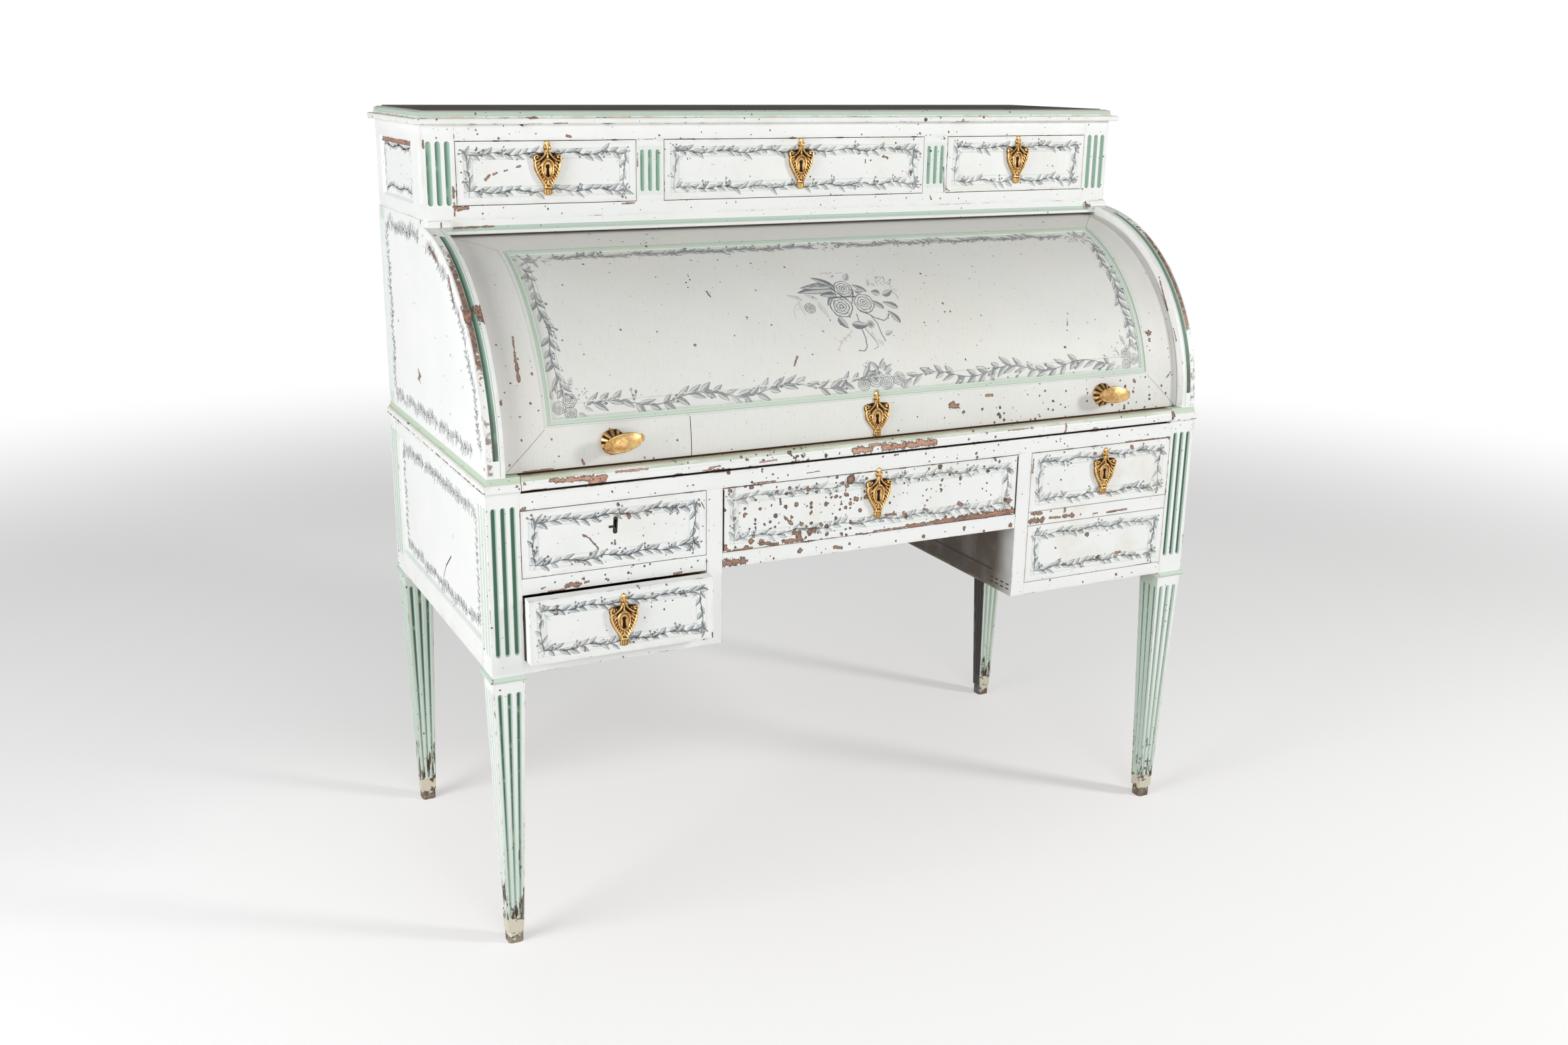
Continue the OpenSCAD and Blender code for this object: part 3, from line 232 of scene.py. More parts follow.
def paint(name, coat, tint=WHITE, specks=1, flakes=1, edges=1, box=None, edge=None, chips=(),
          cracks=(), seen=from_front, crowd=None, wood=bare_wood):
    """Old hand-brushed paint that has flaked: dots, flakes, worn edges, the given chips and the given dark
    lines.
    """
    material, shader, p, x, y, z = start(name)
    cloud = p.noise(160, 3, 0.55, seed=3)
    dull = tuple(c * k for c, k in zip(tint, (0.955, 0.965, 0.96, 1)))
    ground = coat(p, x, y, z, cloud.rise(0.3, 0.7).blend(tint, dull))
    away = edge(p, x, y, z) if edge else arris(x, y, z, *box) if box else None
    warped = p.shift(p.noise(5, 2, out=1), 4.5)
    busy = cloud.rise(0.38, 0.72) * 0.8 + 0.35
    if crowd:
        busy = busy + crowd(p, x, y, z)
    flake = p.noise(34, 5, 0.62, seed=7) * 0.8 + p.noise(8, 2, 0.5, seed=1) * 0.2
    lost = flake - (0.715 - 0.032 * flakes) + (busy - 0.75) * 0.03
    if away is not None:
        lost = lost + away.fall(0, 4) * (0.045 * edges) + away.fall(0, 1) * (0.08 * edges)
    bare = lost * 14
    for cell, big, power in ((9, 0.24, 2.1), (24, 0.17, 5)):
        spot = p.node("ShaderNodeTexVoronoi", None, {"Vector": warped, "Scale": 1 / cell})
        chance = spot.beside(1).part(0).math("POWER", power)
        bare = bare.highest((chance * busy * (big * specks) - spot) * 4.5)
    here = p.flat(*seen(x, y, z))
    if chips:
        ragged = p.noise(8, 5, 0.75, seed=15) - 0.55
        bare = bare.highest(here.near(chips) + ragged * 9)
    tone = bare.rise(-0.22, 0).blend(ground, hue(158, 156, 150))
    if away is not None:
        soil = away.fall(0, 7) * p.noise(30, 3).rise(0.35, 0.7) * 0.35
        tone = soil.blend(tone, hue(214, 208, 192))
    gone = bare.rise(-0.02, 0.06)
    colour = gone.blend(tone, bare.rise(0.1, 1.3).blend(hue(92, 82, 76), wood(p)))
    height = gone * -0.3
    # Dark lines: cracks, scratches, pegs and joints, and painted shade where a line marks a gap between
    # parts.
    if cracks:
        wobble = p.noise(7, 3, 0.6, seed=5) - 0.5
        crack = (here.near(cracks) + wobble * 1.2).rise(-0.15, 0.25)
        colour = crack.blend(colour, hue(48, 42, 38))
        height = height - crack * 0.4
    brush = p.stretch(0.06, 0.06, 1).noise(1.6, 3, 0.5, seed=2)
    height = height + brush * 0.03 + p.noise(45, 2) * 0.25
    close(shader, colour, p.noise(60, 4, seed=6) * 0.22 + 0.4 + gone * 0.3, height)
    shader.inputs["Specular IOR Level"].default_value = 0.4
    return material


def dress(node, material, bevel=0):
    """Gives a CAD node its finish, and its edges a small round where a width is given."""
    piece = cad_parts[node]
    if not piece.material_slots:
        piece.data.materials.append(material)
    for s in piece.material_slots:
        s.material = material
    if bevel:
        piece.modifiers.new("weld", "WELD").merge_threshold = 0.00002
        soft = piece.modifiers.new("bevel", "BEVEL")
        soft.width = bevel
        soft.segments = 2
        soft.limit_method = "ANGLE"
        soft.angle_limit = math.radians(50)
        soft.harden_normals = False


LEG_TOP, FOOT, POST = 450, 24, 50
POST_X, POST_Y, POST_APART = 625, 301, 276  # the posts' middles, and half their distance


def leg_in(x, y, z):
    """Half a leg's width at this height, and the distances from its middle."""
    half = (z / LEG_TOP).lowest(1) * ((POST - FOOT) / 2) + FOOT / 2
    dx = abs(abs(x) - POST_X)
    dy = abs(abs(y - POST_Y) - POST_APART)
    return half, dx, dy


def leg_coat(p, x, y, z, ground):
    """Green flutes darkened toward their bottoms partly as painted shade, mint where the photograph
    shows it, a worn collar, a bare foot, and painted shade on the back legs' inner faces and
    beside the posts' gaps.
    """
    half, dx, dy = leg_in(x, y, z)
    inside = half - dx.highest(dy)
    side = (dx - dy).rise(-1, 1)
    below = z.fall(LEG_TOP - 1, LEG_TOP + 1)
    far = y.rise(380, 420)
    right = x.rise(-1, 1) * below
    inward = side * right * (POST_X - abs(x)).rise(0, 1)
    mint = ((1 - side) * z.fall(80, 380) * 0.7).highest(far * 0.75) * below
    ground = mint.highest(inward).blend(ground, hue(206, 221, 208))
    # The flutes' green darkens toward their bottoms: partly real green paint, partly painted shade in the
    # hollow.
    deepest = (z / LEG_TOP).lowest(1) * 1.5 + 2.3
    bottom = (inside / deepest - below * 0.06).rise(0.68, 0.92)
    green = bottom.blend(hue(200, 220, 207), hue(74, 112, 92))
    pale = bottom.blend(hue(222, 231, 223), hue(168, 198, 180))
    green = (side * (1 - far) * (1 - inward)).highest((1 - side) * right * 0.6).blend(green, pale)
    rub = p.noise(20, 3, seed=4).rise(0.55, 0.72) * below
    green = (rub * 0.6).blend(green, hue(206, 218, 206))
    colour = inside.rise(0.25, 0.6).blend(ground, green)
    ring = (inside * -1).rise(0.5, 1) * z.rise(LEG_TOP - 2, LEG_TOP)
    colour = (ring * 0.9).blend(colour, hue(196, 216, 200))
    tan = ring * z.fall(LEG_TOP + 1, LEG_TOP + 4) * p.noise(30, 3, seed=5).rise(0.42, 0.6)
    colour = (tan * 0.7).blend(colour, hue(206, 190, 150))
    patch = p.noise(13, 4, 0.6, seed=18)
    streak = p.stretch(1, 1, 0.16).noise(7, 4, 0.65, seed=19)
    bare = (streak + z.fall(44, 150) * 0.17).rise(0.63, 0.68) * z.fall(150, 200)
    colour = bare.blend(colour, hue(80, 66, 50))
    foot = z.fall(41, 46) + (patch - 0.5) * 0.4
    remnant = (patch - abs(z - 29) * 0.012).rise(0.31, 0.37)
    colour = foot.rise(0.4, 0.6).blend(colour, remnant.blend(hue(96, 78, 58), hue(218, 211, 192)))
    # Painted shade: the back legs' inner faces, toward the knee hole, are painted near black.
    inner = side * (POST_X - abs(x)).rise(0, 1) * far * below
    colour = inner.blend(colour, hue(72, 69, 66))
    # Painted shade in the gap between a post's inner face and the drawer beside it.
    jamb_shade = (POST_X - POST / 2 + 0.7 - abs(x)).rise(0, 0.4) * z.rise(LEG_TOP + 5, LEG_TOP + 8) * y.rise(1, 3)
    return jamb_shade.blend(colour, SEAM_AND_GAP_SHADE)


def leg_edge(p, x, y, z):
    half, dx, dy = leg_in(x, y, z)
    return (half - dx.lowest(dy)).lowest((z - 19).highest(0))


leg_paint = paint("leg_paint", leg_coat, specks=0.9, edges=1.1, edge=leg_edge,
                  crowd=lambda p, x, y, z: z.fall(20, 200) * 0.5)
for leg in ("leg_front_left", "leg_front_right", "leg_back_left", "leg_back_right"):
    dress(leg, leg_paint)

# Lower case: side panels with a sunk field, the uprights of the knee hole, and the rails
# with their runners, all pegged beech under the same white paint, with a drawn leaf
# garland round each side panel's field.
def metres(points):
    """Points in the case's millimetres as a mesh takes them."""
    return [(x / 1000, (y - MID_Y) / 1000, z / 1000) for x, y, z in points]


def new_piece(name, points, faces, value, numbers, material=None):
    """A new object with one number at each point for its material to read."""
    mesh = bpy.data.meshes.new(name)
    mesh.from_pydata(points, [], faces)
    mesh.attributes.new(value, "FLOAT", "POINT").data.foreach_set("value", numbers)
    if material:
        mesh.materials.append(material)
    made = bpy.data.objects.new(name, mesh)
    bpy.context.scene.collection.objects.link(made)
    return made


class Flat:
    """Drawing laid out flat: points in millimetres, faces, and how dark each point is."""

    def __init__(self):
        self.points, self.faces, self.shade = [], [], []

    def grid(self, rows, shades):
        """Rows of points joined by quads; a row with one point closes the shape."""
        first = []
        for row, tones in zip(rows, shades):
            first.append(len(self.points))
            self.points += row
            self.shade += tones
        for k in range(len(rows) - 1):
            a, b = first[k], first[k + 1]
            na, nb = len(rows[k]), len(rows[k + 1])
            for j in range(max(na, nb) - 1):
                if na == 1:
                    self.faces.append((a, b + j + 1, b + j))
                elif nb == 1:
                    self.faces.append((a + j, a + j + 1, b))
                else:
                    self.faces.append((a + j, a + j + 1, b + j + 1, b + j))

    def stroke(self, path, widths, tone=0.8):
        """A brush stroke along a path, as wide at each point as the list says."""
        rows, shades = [], []
        for k, (x, y) in enumerate(path):
            a, b = path[max(k - 1, 0)], path[min(k + 1, len(path) - 1)]
            dx, dy = b[0] - a[0], b[1] - a[1]
            long = math.hypot(dx, dy) or 1.0
            w = (widths[k] if isinstance(widths, list) else widths) / 2
            nx, ny = dy / long * w, -dx / long * w
            rows.append([(x - nx, y - ny), (x, y), (x + nx, y + ny)])
            shades.append([tone, tone * 0.75, tone])
        self.grid(rows, shades)

    def leaf(self, at, angle, long, wide, bend=0.15, side=1, tone=1.0, fill=0.6):
        """A pointed leaf with a thin dark edge and vein and one half washed darker."""
        rows, shades = [], []
        c, s = math.cos(angle), math.sin(angle)
        for t in (0.0, 0.1, 0.26, 0.44, 0.62, 0.8, 1.0):
            half = wide / 2 * (math.sin(math.pi * t ** 0.75)) ** 0.85 if 0 < t < 1 else 0
            row, tones = [], []
            for q in ((-1, -0.76, -0.12, 0, 0.12, 0.76, 1) if half else (0,)):
                u, v = t * long, q * half + side * bend * long * t * t
                row.append((at[0] + u * c - v * s, at[1] + u * s + v * c))
                wash = fill * (0.35 if q * side > 0 else 1.0)
                tones.append(tone * (1.0 if abs(q) == 1 or not half else
                                     max(0.8, wash) if q == 0 else wash))
            rows.append(row)
            shades.append(tones)
        self.grid(rows, shades)

    def dot(self, at, r, tone=0.9):
        base = len(self.points)
        self.points += [at] + [(at[0] + r * math.cos(a), at[1] + r * math.sin(a))
                               for a in (0, 1.05, 2.09, 3.14, 4.19, 5.24)]
        self.shade += [tone * 0.5] + [tone] * 6
        self.faces += [(base, base + 1 + k, base + 1 + (k + 1) % 6) for k in range(6)]

    def add(self, mesh):
        """Takes over an evaluated flat mesh with its shades."""
        base = len(self.points)
        self.points += [(v.co.x, v.co.y) for v in mesh.vertices]
        self.shade += [d.value for d in mesh.attributes["shade"].data]
        self.faces += [tuple(base + v for v in f.vertices) for f in mesh.polygons]

    def object(self, name, surface=None, material=None):
        """The drawing as a thin closed skin of paint on a surface, or flat as it is."""
        faces, points, n = list(self.faces), [(u, v, 0) for u, v in self.points], len(self.points)
        if surface:
            points = metres([surface(u, v, lift) for lift in (0.16, -0.05) for u, v in self.points])
            seen = dict.fromkeys((a, b) for f in self.faces for a, b in zip(f, f[1:] + f[:1]))
            faces += [tuple(n + v for v in reversed(f)) for f in self.faces]
            faces += [(b, a, n + a, n + b) for a, b in seen if (b, a) not in seen]
        return new_piece(name, points, faces, "shade", self.shade * (2 if surface else 1), material)

    def lay(self, name, surface, material, body, turned=False):
        """Lays the drawing on a surface, to move with the body that the surface is part of."""
        made = self.object(name, surface, material)
        if turned:
            made.data.flip_normals()
        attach(made, body)


leaf_left, leaf_right, berries = Flat(), Flat(), Flat()
leaf_left.leaf((0, 0), 0, 1.0, 0.4, 0.12, 1, 1.0)
leaf_right.leaf((0, 0), 0, 1.0, 0.4, 0.12, -1, 1.0)
for spot in ((0.25, 0.1), (0.5, -0.12), (0.6, 0.28)):
    berries.dot(spot, 0.11)
    berries.stroke([(0, 0), (spot[0] * 0.5, spot[1] * 0.7), spot], 0.05)
leaf_left, leaf_right, berries = (f.object(n) for f, n in (
    (leaf_left, "leaf_left"), (leaf_right, "leaf_right"), (berries, "berries")))


def garland_tree():
    """Leaves to the left and right of a path, and berries among them."""
    tree = bpy.data.node_groups.new("garland", "GeometryNodeTree")
    for name, kind, value in (
            ("Path", "Geometry", None), ("Spacing", "Float", 11.0), ("Leaf Length", "Float", 14.0),
            ("Lean", "Float", 0.5), ("Kept", "Float", 0.85), ("Seed", "Int", 0),
            ("Left Leaf", "Object", None), ("Right Leaf", "Object", None),
            ("Berries", "Object", None)):
        made = tree.interface.new_socket(name, in_out="INPUT", socket_type="NodeSocket" + kind)
        if value is not None:
            made.default_value = value
    tree.interface.new_socket("Leaves", in_out="OUTPUT", socket_type="NodeSocketGeometry")
    root = Wire(tree)
    given = root.node("NodeGroupInput").beside
    joined = root.node("GeometryNodeJoinGeometry")
    for step, (leaf, side, apart, ahead, low, high) in enumerate((
            ("Left Leaf", 1, 1.0, 0.0, -0.2, 0.3), ("Right Leaf", -1, 1.13, 0.55, -0.2, 0.3),
            ("Berries", 1, 2.7, 0.8, -1.2, 1.2))):
        seed = given("Seed") + step * 17.0
        tangent = root.node("GeometryNodeInputTangent")
        spots = root.node("GeometryNodeResampleCurve", {"mode": "LENGTH"},
                          {"Curve": given("Path"), "Length": given("Spacing") * apart})
        spots = root.node("GeometryNodeSetPosition", None, {
            "Geometry": spots, "Offset": tangent.vector("SCALE", given("Spacing") * ahead)})
        turn = root.node("FunctionNodeRandomValue", {"data_type": "FLOAT"},
                         {2: low, 3: high, "Seed": seed}, 1)
        lean = root.node("ShaderNodeCombineXYZ", None, {"Z": (given("Lean") + turn) * side})
        facing = root.node("FunctionNodeAlignRotationToVector", {"axis": "X"}, {"Vector": tangent})
        facing = root.node("FunctionNodeRotateRotation", {"rotation_space": "LOCAL"},
                           {0: facing, 1: lean})
        size = root.node("FunctionNodeRandomValue", {"data_type": "FLOAT_VECTOR"},
                         {0: (0.72, 0.7, 1.0), 1: (1.18, 1.15, 1.0), "Seed": seed})
        kept = root.node("FunctionNodeRandomValue", {"data_type": "BOOLEAN"},
                         {"Probability": given("Kept"), "Seed": seed}, 3)
        shape = root.node("GeometryNodeObjectInfo", None, {"Object": given(leaf)})
        leaves = root.node("GeometryNodeInstanceOnPoints", None, {
            "Points": spots, "Selection": kept, "Instance": shape.beside("Geometry"),
            "Rotation": facing, "Scale": size.vector("SCALE", given("Leaf Length"))})
        tree.links.new(leaves.socket, joined.socket.node.inputs[0])
    real = root.node("GeometryNodeRealizeInstances", None, {0: joined})
    root.node("GeometryNodeSetMaterial", None, {"Geometry": real}).end("NodeGroupOutput")
    return tree


garland_nodes = garland_tree()


def wave(a, b, high, period, phase=0.0, bow=0.0):
    """A wavy run from a to b, as a list of points."""
    dx, dy = b[0] - a[0], b[1] - a[1]
    long = math.hypot(dx, dy)
    steps = max(6, int(long / 2.5))
    run = []
    for k in range(steps + 1):
        t = k / steps
        off = high * math.sin(2 * math.pi * t * long / period + phase) + bow * math.sin(math.pi * t)
        run.append((a[0] + dx * t - dy / long * off, a[1] + dy * t + dx / long * off))
    return run


def garland(drawing, run, spacing=11.0, leaf=14.0, lean=0.5, kept=0.85, seed=1, stem=0.8):
    """Draws a stem along the run, and leaves and berries that stop short of the run's ends."""
    curve = bpy.data.curves.new("run", "CURVE")
    curve.dimensions = "3D"
    line = curve.splines.new("POLY")
    leafy = run[2:-6]
    line.points.add(len(leafy) - 1)
    for point, (u, v) in zip(line.points, leafy):
        point.co = (u, v, 0, 1)
    carrier = bpy.data.objects.new("run", curve)
    bpy.context.scene.collection.objects.link(carrier)
    made = carrier.modifiers.new("garland", "NODES")
    made.node_group = garland_nodes
    ids = {s.name: s.identifier for s in garland_nodes.interface.items_tree
           if s.in_out == "INPUT"}
    for name, value in (("Spacing", spacing), ("Leaf Length", leaf), ("Lean", lean),
                        ("Kept", kept), ("Seed", seed), ("Left Leaf", leaf_left),
                        ("Right Leaf", leaf_right), ("Berries", berries)):
        made[ids[name]] = value
    depsgraph = bpy.context.evaluated_depsgraph_get()
    mesh = bpy.data.meshes.new_from_object(carrier.evaluated_get(depsgraph))
    drawing.add(mesh)
    n = len(run)
    drawing.stroke(run, [stem * (0.4 + 0.9 * math.sin(math.pi * min(1, (k + 1) / n * 1.1)) ** 0.5
                                 if k < n * 0.9 else stem * 0.5) for k in range(n)])
    bpy.data.meshes.remove(mesh)
    bpy.data.objects.remove(carrier)
    bpy.data.curves.remove(curve)


def ink(p, ground, dark=1):
    """Slate brushwork: lines at the leaves' edges and a thin wash that lets the white through."""
    shade = ground.node("ShaderNodeAttribute", {"attribute_name": "shade"}, out=2)
    shade = shade + (p.noise(2.2, 2, seed=8) - 0.5) * 0.35
    faded = 1 - p.noise(30, 2, seed=9).rise(0.48, 0.75) * 0.45
    return ((shade * dark + 0.03).hold() * faded).blend(ground, hue(82, 90, 98))


def painted(node, slot, coat, bevel=0, dark=0, **look):
    """Dresses a CAD node in its own old paint, worn along its box's edges or the edge given.
    Where a drawing's darkness is given too, it gives the same paint with the ink over it."""
    if "edge" not in look:
        look["box"] = box_mm(node)
    dress(node, paint("paint_" + node, coat, **look), bevel)
    if dark:
        return paint("paint_" + node + "_ink",
                     lambda p, x, y, z, ground: ink(p, coat(p, x, y, z, ground), dark), **look)


def frame_garland(drawing, low, high, seed=1, leaf=15.0, spacing=12.0, bow=4.0, kept=0.9,
                  sides=1.0, ends=4.0, stem=1.1, lean=0.3):
    """A garland along each side of a rectangle, with its stems crossed at the corners."""
    (u0, v0), (u1, v1) = low, high
    rnd = random.Random(seed)
    for k, (a, b) in enumerate((((u0, v0), (u1, v0)), ((u0, v1), (u1, v1)),
                                ((u0, v0), (u0, v1)), ((u1, v1), (u1, v0)))):
        dx, dy = b[0] - a[0], b[1] - a[1]
        long = math.hypot(dx, dy)
        dx, dy = dx / long, dy / long
        start_at = (a[0] - dx * ends, a[1] - dy * ends)
        stop_at = (b[0] + dx * ends, b[1] + dy * ends)
        thin = sides if k > 1 else 1.0
        run = wave(start_at, stop_at, 2.2, rnd.uniform(60, 85), rnd.uniform(0, 6),
                   rnd.uniform(-bow, bow) * (0.3 if k > 1 else 1))
        garland(drawing, run, spacing * (1.0 if thin == 1 else 1.3), leaf * (0.6 + 0.4 * thin),
                lean, kept, seed * 7 + k, stem)
        for at, way in ((start_at, -1), (stop_at, 1)):
            drawing.stroke([at, (at[0] + dx * way * 5, at[1] + dy * way * 5 + 1)], [0.9, 0.4])
    for u, v in ((u0, v0), (u1, v0), (u0, v1), (u1, v1)):
        cu, cv = (1 if u == u0 else -1), (1 if v == v0 else -1)
        for k in range(3):
            bend = rnd.uniform(-4, 4)
            drawing.stroke([(u + cu * 4, v + cv * 4), (u + cu * (9 + bend), v + cv * 9),
                            (u + cu * 14, v + cv * (13 - bend))], [0.5, 0.4, 0.2], 0.5)


ARRIS = 0.0006  # the small round on the case's and the fronts' edges, in metres
SIDE_X = 650  # the outer face of a side panel
SIDE_LOW, SIDE_HIGH, SIDE_FRONT, SIDE_BACK = 502, 713, 52, 550  # the sunk field in a side panel


def side_coat(p, x, y, z, ground):
    """A faint green rim round the sunk field and a soiled lower rail."""
    edge = (z - SIDE_LOW).lowest(SIDE_HIGH - z).lowest(y - SIDE_FRONT).lowest(SIDE_BACK - y)
    band = edge.rise(-3, -0.5) * edge.fall(1, 4) * abs(x).rise(600, 640)
    yellow = z.fall(462, 480) * p.noise(40, 3).rise(0.4, 0.7) * 0.3
    return yellow.blend((band * 0.28).blend(ground, MINT), hue(220, 206, 176))


def side_skin(sign):
    """The face of a side panel: flat rails, short slopes and the field 5 mm lower."""
    def at(u, v, lift):
        edge = min(v - (SIDE_LOW - 3), SIDE_HIGH + 3 - v)
        return (sign * (SIDE_X - max(0, min(1, edge / 6)) * 5 + lift), u, v)
    return at


for sign, name in ((-1, "side_left"), (1, "side_right")):
    scratch = [(233, 582, 268, 556, 2.8), (268, 556, 288, 531, 2)] if sign < 0 else ()
    drawn = painted(name, "case_paint", side_coat, ARRIS, 1, specks=0.45, flakes=0.3, edges=0.3,
                    cracks=scratch, seen=from_side,
                    chips=[(520, 715, 520, 706, 3), (215, 625, 214, 617, 1.6)])
    picture = Flat()
    frame_garland(picture, (74, 521), (528, 695), 3 + sign, 14, 8, 5, 0.92, 0.7, 2.0, 0.7, 0.85)
    picture.lay("garland_" + name, side_skin(sign), drawn, "case", sign < 0)


KNEE_X, KNEE_TOP = 275, 583  # half the knee hole's width, and its height under the rail


def knee_coat(p, x, y, z, ground):
    """Inside the knee hole: painted shade that deepens toward the back, and painted shade in the gap under
    the rail.
    """
    inner = (abs(x) - KNEE_X).fall(0.3, 0.9)
    # Painted shade, deepening toward the back of the knee hole.
    depth = y.rise(2, 60) * 0.55 + 0.42 + (p.noise(60, 4) - 0.5) * 0.5
    colour = (inner * depth.hold()).blend(ground, hue(90, 80, 69))
    return (inner * z.rise(KNEE_TOP + 1, KNEE_TOP + 3) * y.rise(1, 3)).blend(colour, SEAM_AND_GAP_SHADE)


def rail_coat(p, x, y, z, ground):
    """Behind its painted front a rail has painted shade in the gap and is bare further in."""
    return y.rise(1, 3).blend(ground, y.rise(14, 26).blend(SEAM_AND_GAP_SHADE, hue(150, 117, 88)))


pegs = [(y, z, y + 7, z, 2.6) for z in (470, 478) for y in (8, 24, 40, 55)]
for name in ("partition_left", "partition_right"):
    painted(name, "case_paint", knee_coat, ARRIS, seen=from_side,
            chips=[(90, 520, 4), (150, 560, 4)], cracks=pegs + [(60, 492, 330, 492, 2.8)])
for name, chips in (
        ("rail_left", [
            (-530, 590, -510, 589, 9), (-504, 597, 6), (-496, 592, -502, 590, 4), (-465, 590, 5),
            (-570, 590, -564, 592, 3), (-346, 592, 5), (-328, 592, 4), (-317, 601, 4),
            (-427, 605, 3), (-428, 595, 3), (-357, 585, -345, 586, 4), (-560, 584, -535, 584, 3)]),
        ("rail_centre", [
            (-272, 591, -238, 591, 14), (-139, 594, 10), (-76, 593, -64, 590, 7), (-48, 595, 5),
            (-30, 587, 4), (-186, 588, 5), (39, 589, 5), (93, 591, 8), (172, 595, 8),
            (191, 594, 4), (212, 586, 6), (266, 590, 8)]),
        ("rail_top", [
            (-597, 714, -592, 716, 6), (-580, 725, 3), (-430, 723, 3), (-334, 723, 4),
            (-129, 722, -107, 723, 2), (31, 736, 37, 736, 4), (-222, 715, -185, 715, 3),
            (-180, 719, 4), (500, 714, 598, 714, 2)]),
        ("pedestal_floors", [(503, 469, 6), (517, 462, 4), (429, 466, 430, 463, 3), (358, 478, 3)])):
    painted(name, "case_paint", rail_coat, ARRIS, chips=chips, specks=1.2, edges=1.2)


# Waist: a moulding round the top of the lower case, white on its band and green on the
# slope above it, worn to yellow wood along the back edge, with short returns in front.
def waist_coat(p, x, y, z, ground):
    slope = z.rise(754.2, 755)
    colour = slope.blend(ground, hue(198, 214, 194))
    inner = abs(x).fall(643.5, 645.5) * y.rise(30, 50) * z.rise(763, 764.5)
    worn = slope * p.stretch(1, 0.3, 1).noise(14, 4, 0.6, seed=11).rise(0.56, 0.66) * 0.5
    colour = worn.highest(inner * 0.6).blend(colour, hue(216, 196, 156))
    # A thin painted shade line under the band.
    return (z.fall(742.4, 743.2) * z.rise(738, 740) * 0.15).blend(colour, hue(150, 140, 124))


def waist_edge(p, x, y, z):
    corner = ((646.5 - abs(x)).highest(0) + 0.2).highest(abs(z - 754) * 0.8)
    return corner.lowest(abs(abs(x) - 597.5) + y.rise(0, 30) * 50)


for name, chips in (("waist_left", [(-600, 747, 3), (-604, 752, 4), (-652, 745, 4)]),
                    ("waist_right", [(598, 749, 599, 757, 9), (612, 744, 3), (640, 743, 652, 743, 2)])):
    painted(name, "moulding_paint", waist_coat, edge=waist_edge, edges=0.7, chips=chips)


# Writing slide: its edge carries the waist's profile across the middle. The paint there is
# mostly lost, down to salmon wood; behind it lie a plain board and a green hide.
def salmon(p):
    grain = p.stretch(0.06, 1, 1).noise(2.4, 4, 0.6)
    return grain.rise(0.3, 0.7).blend(hue(218, 176, 154), hue(184, 134, 112))


def slide_coat(p, x, y, z, ground):
    worn = p.stretch(0.25, 1, 1).noise(16, 4, 0.6, seed=12).rise(0.40, 0.62)
    colour = (z.rise(756.5, 757.5) * (1 - worn * 0.6)).blend(ground, hue(194, 206, 184))
    return (z.rise(760.5, 763) * 0.6).blend(colour, hue(170, 160, 136))


painted("slide_front", "moulding_paint", slide_coat, flakes=2.3, edges=1.3, wood=salmon,
        crowd=lambda p, x, y, z: abs(x + 100).rise(500, 100) * 0.5,
        chips=[(-550, 754, -468, 752, 9), (-490, 747, -470, 747, 11), (-590, 743, -560, 743, 3),
               (-450, 757, -399, 757, 4), (-311, 745, -296, 745, 3), (-592, 754, 5),
               (-45, 751, -18, 751, 13), (10, 751, 105, 751, 14), (-18, 757, 12, 757, 5),
               (-299, 748, -281, 750, 4), (-214, 749, -185, 750, 3), (365, 742, 368, 758, 4),
               (420, 757, 3), (455, 745, 3), (250, 757, 300, 757, 2.5)], cracks=[(-3, 750, 2.6)])


def plain_wood(name, light, dark, along="x", grimy=False, board=None):
    """Planed wood with its grain along one axis, perhaps painted black at its front end as
    painted shade, or with a seam at every board's height."""
    material, shader, p, x, y, z = start(name)
    grain = p.stretch(*(0.05 if axis == along else 1 for axis in "xyz"))
    rings, fine = grain.noise(9, 4, 0.55), grain.noise(1.1, 3, 0.6, seed=2)
    darker, darkest = (tuple(c * k for c in dark[:3]) + (1,) for k in (0.5, 0.45))
    tone = rings.rise(0.3, 0.7).blend(light, dark)
    tone = (fine.rise(0.45, 0.75) * 0.45).blend(tone, darker)
    tone = (p.noise(120, 4, 0.6, seed=5).rise(0.5, 0.75) * 0.4).blend(tone, darkest)
    height = rings * 0.12 + fine * 0.08
    if grimy:
        # Painted shade: a drawer side's front end, seen in the gap behind its front, is painted black.
        tone = y.fall(1, 12).blend(tone, hue(44, 38, 34))
    if board:
        seam = z.math("PINGPONG", board / 2).fall(0.5, 1.4)
        tone = seam.blend(tone, SEAM_AND_GAP_SHADE)
        height = height - seam
    close(shader, tone, fine * 0.2 + 0.6, height)
    return material


inner_wood = plain_wood("inner_wood", hue(176, 142, 106), hue(140, 104, 74))
dress("slide_board", inner_wood)
material, shader, p, x, y, z = start("slide_leather")
edge = (508 - abs(x)).lowest(y - 40).lowest(330 - y)
tooled = abs(edge - 14).rise(1.1, 0.5).highest(abs(edge - 18).rise(0.5, 0.2))
hide = p.noise(70, 5, 0.6).rise(0.3, 0.7).blend(hue(58, 78, 58), hue(74, 92, 70))
hide = (p.noise(18, 4, seed=3).rise(0.6, 0.72) * 0.5).blend(hide, hue(100, 100, 76))
pores = p.node("ShaderNodeTexVoronoi", None, {"Vector": p, "Scale": 1.6})
close(shader, (tooled * p.noise(9, 3).rise(0.35, 0.5)).blend(hide, hue(196, 160, 84)),
      p.noise(40, 3) * 0.3 + 0.36, pores * 0.12 - tooled * 0.3)
dress("slide_leather", material)


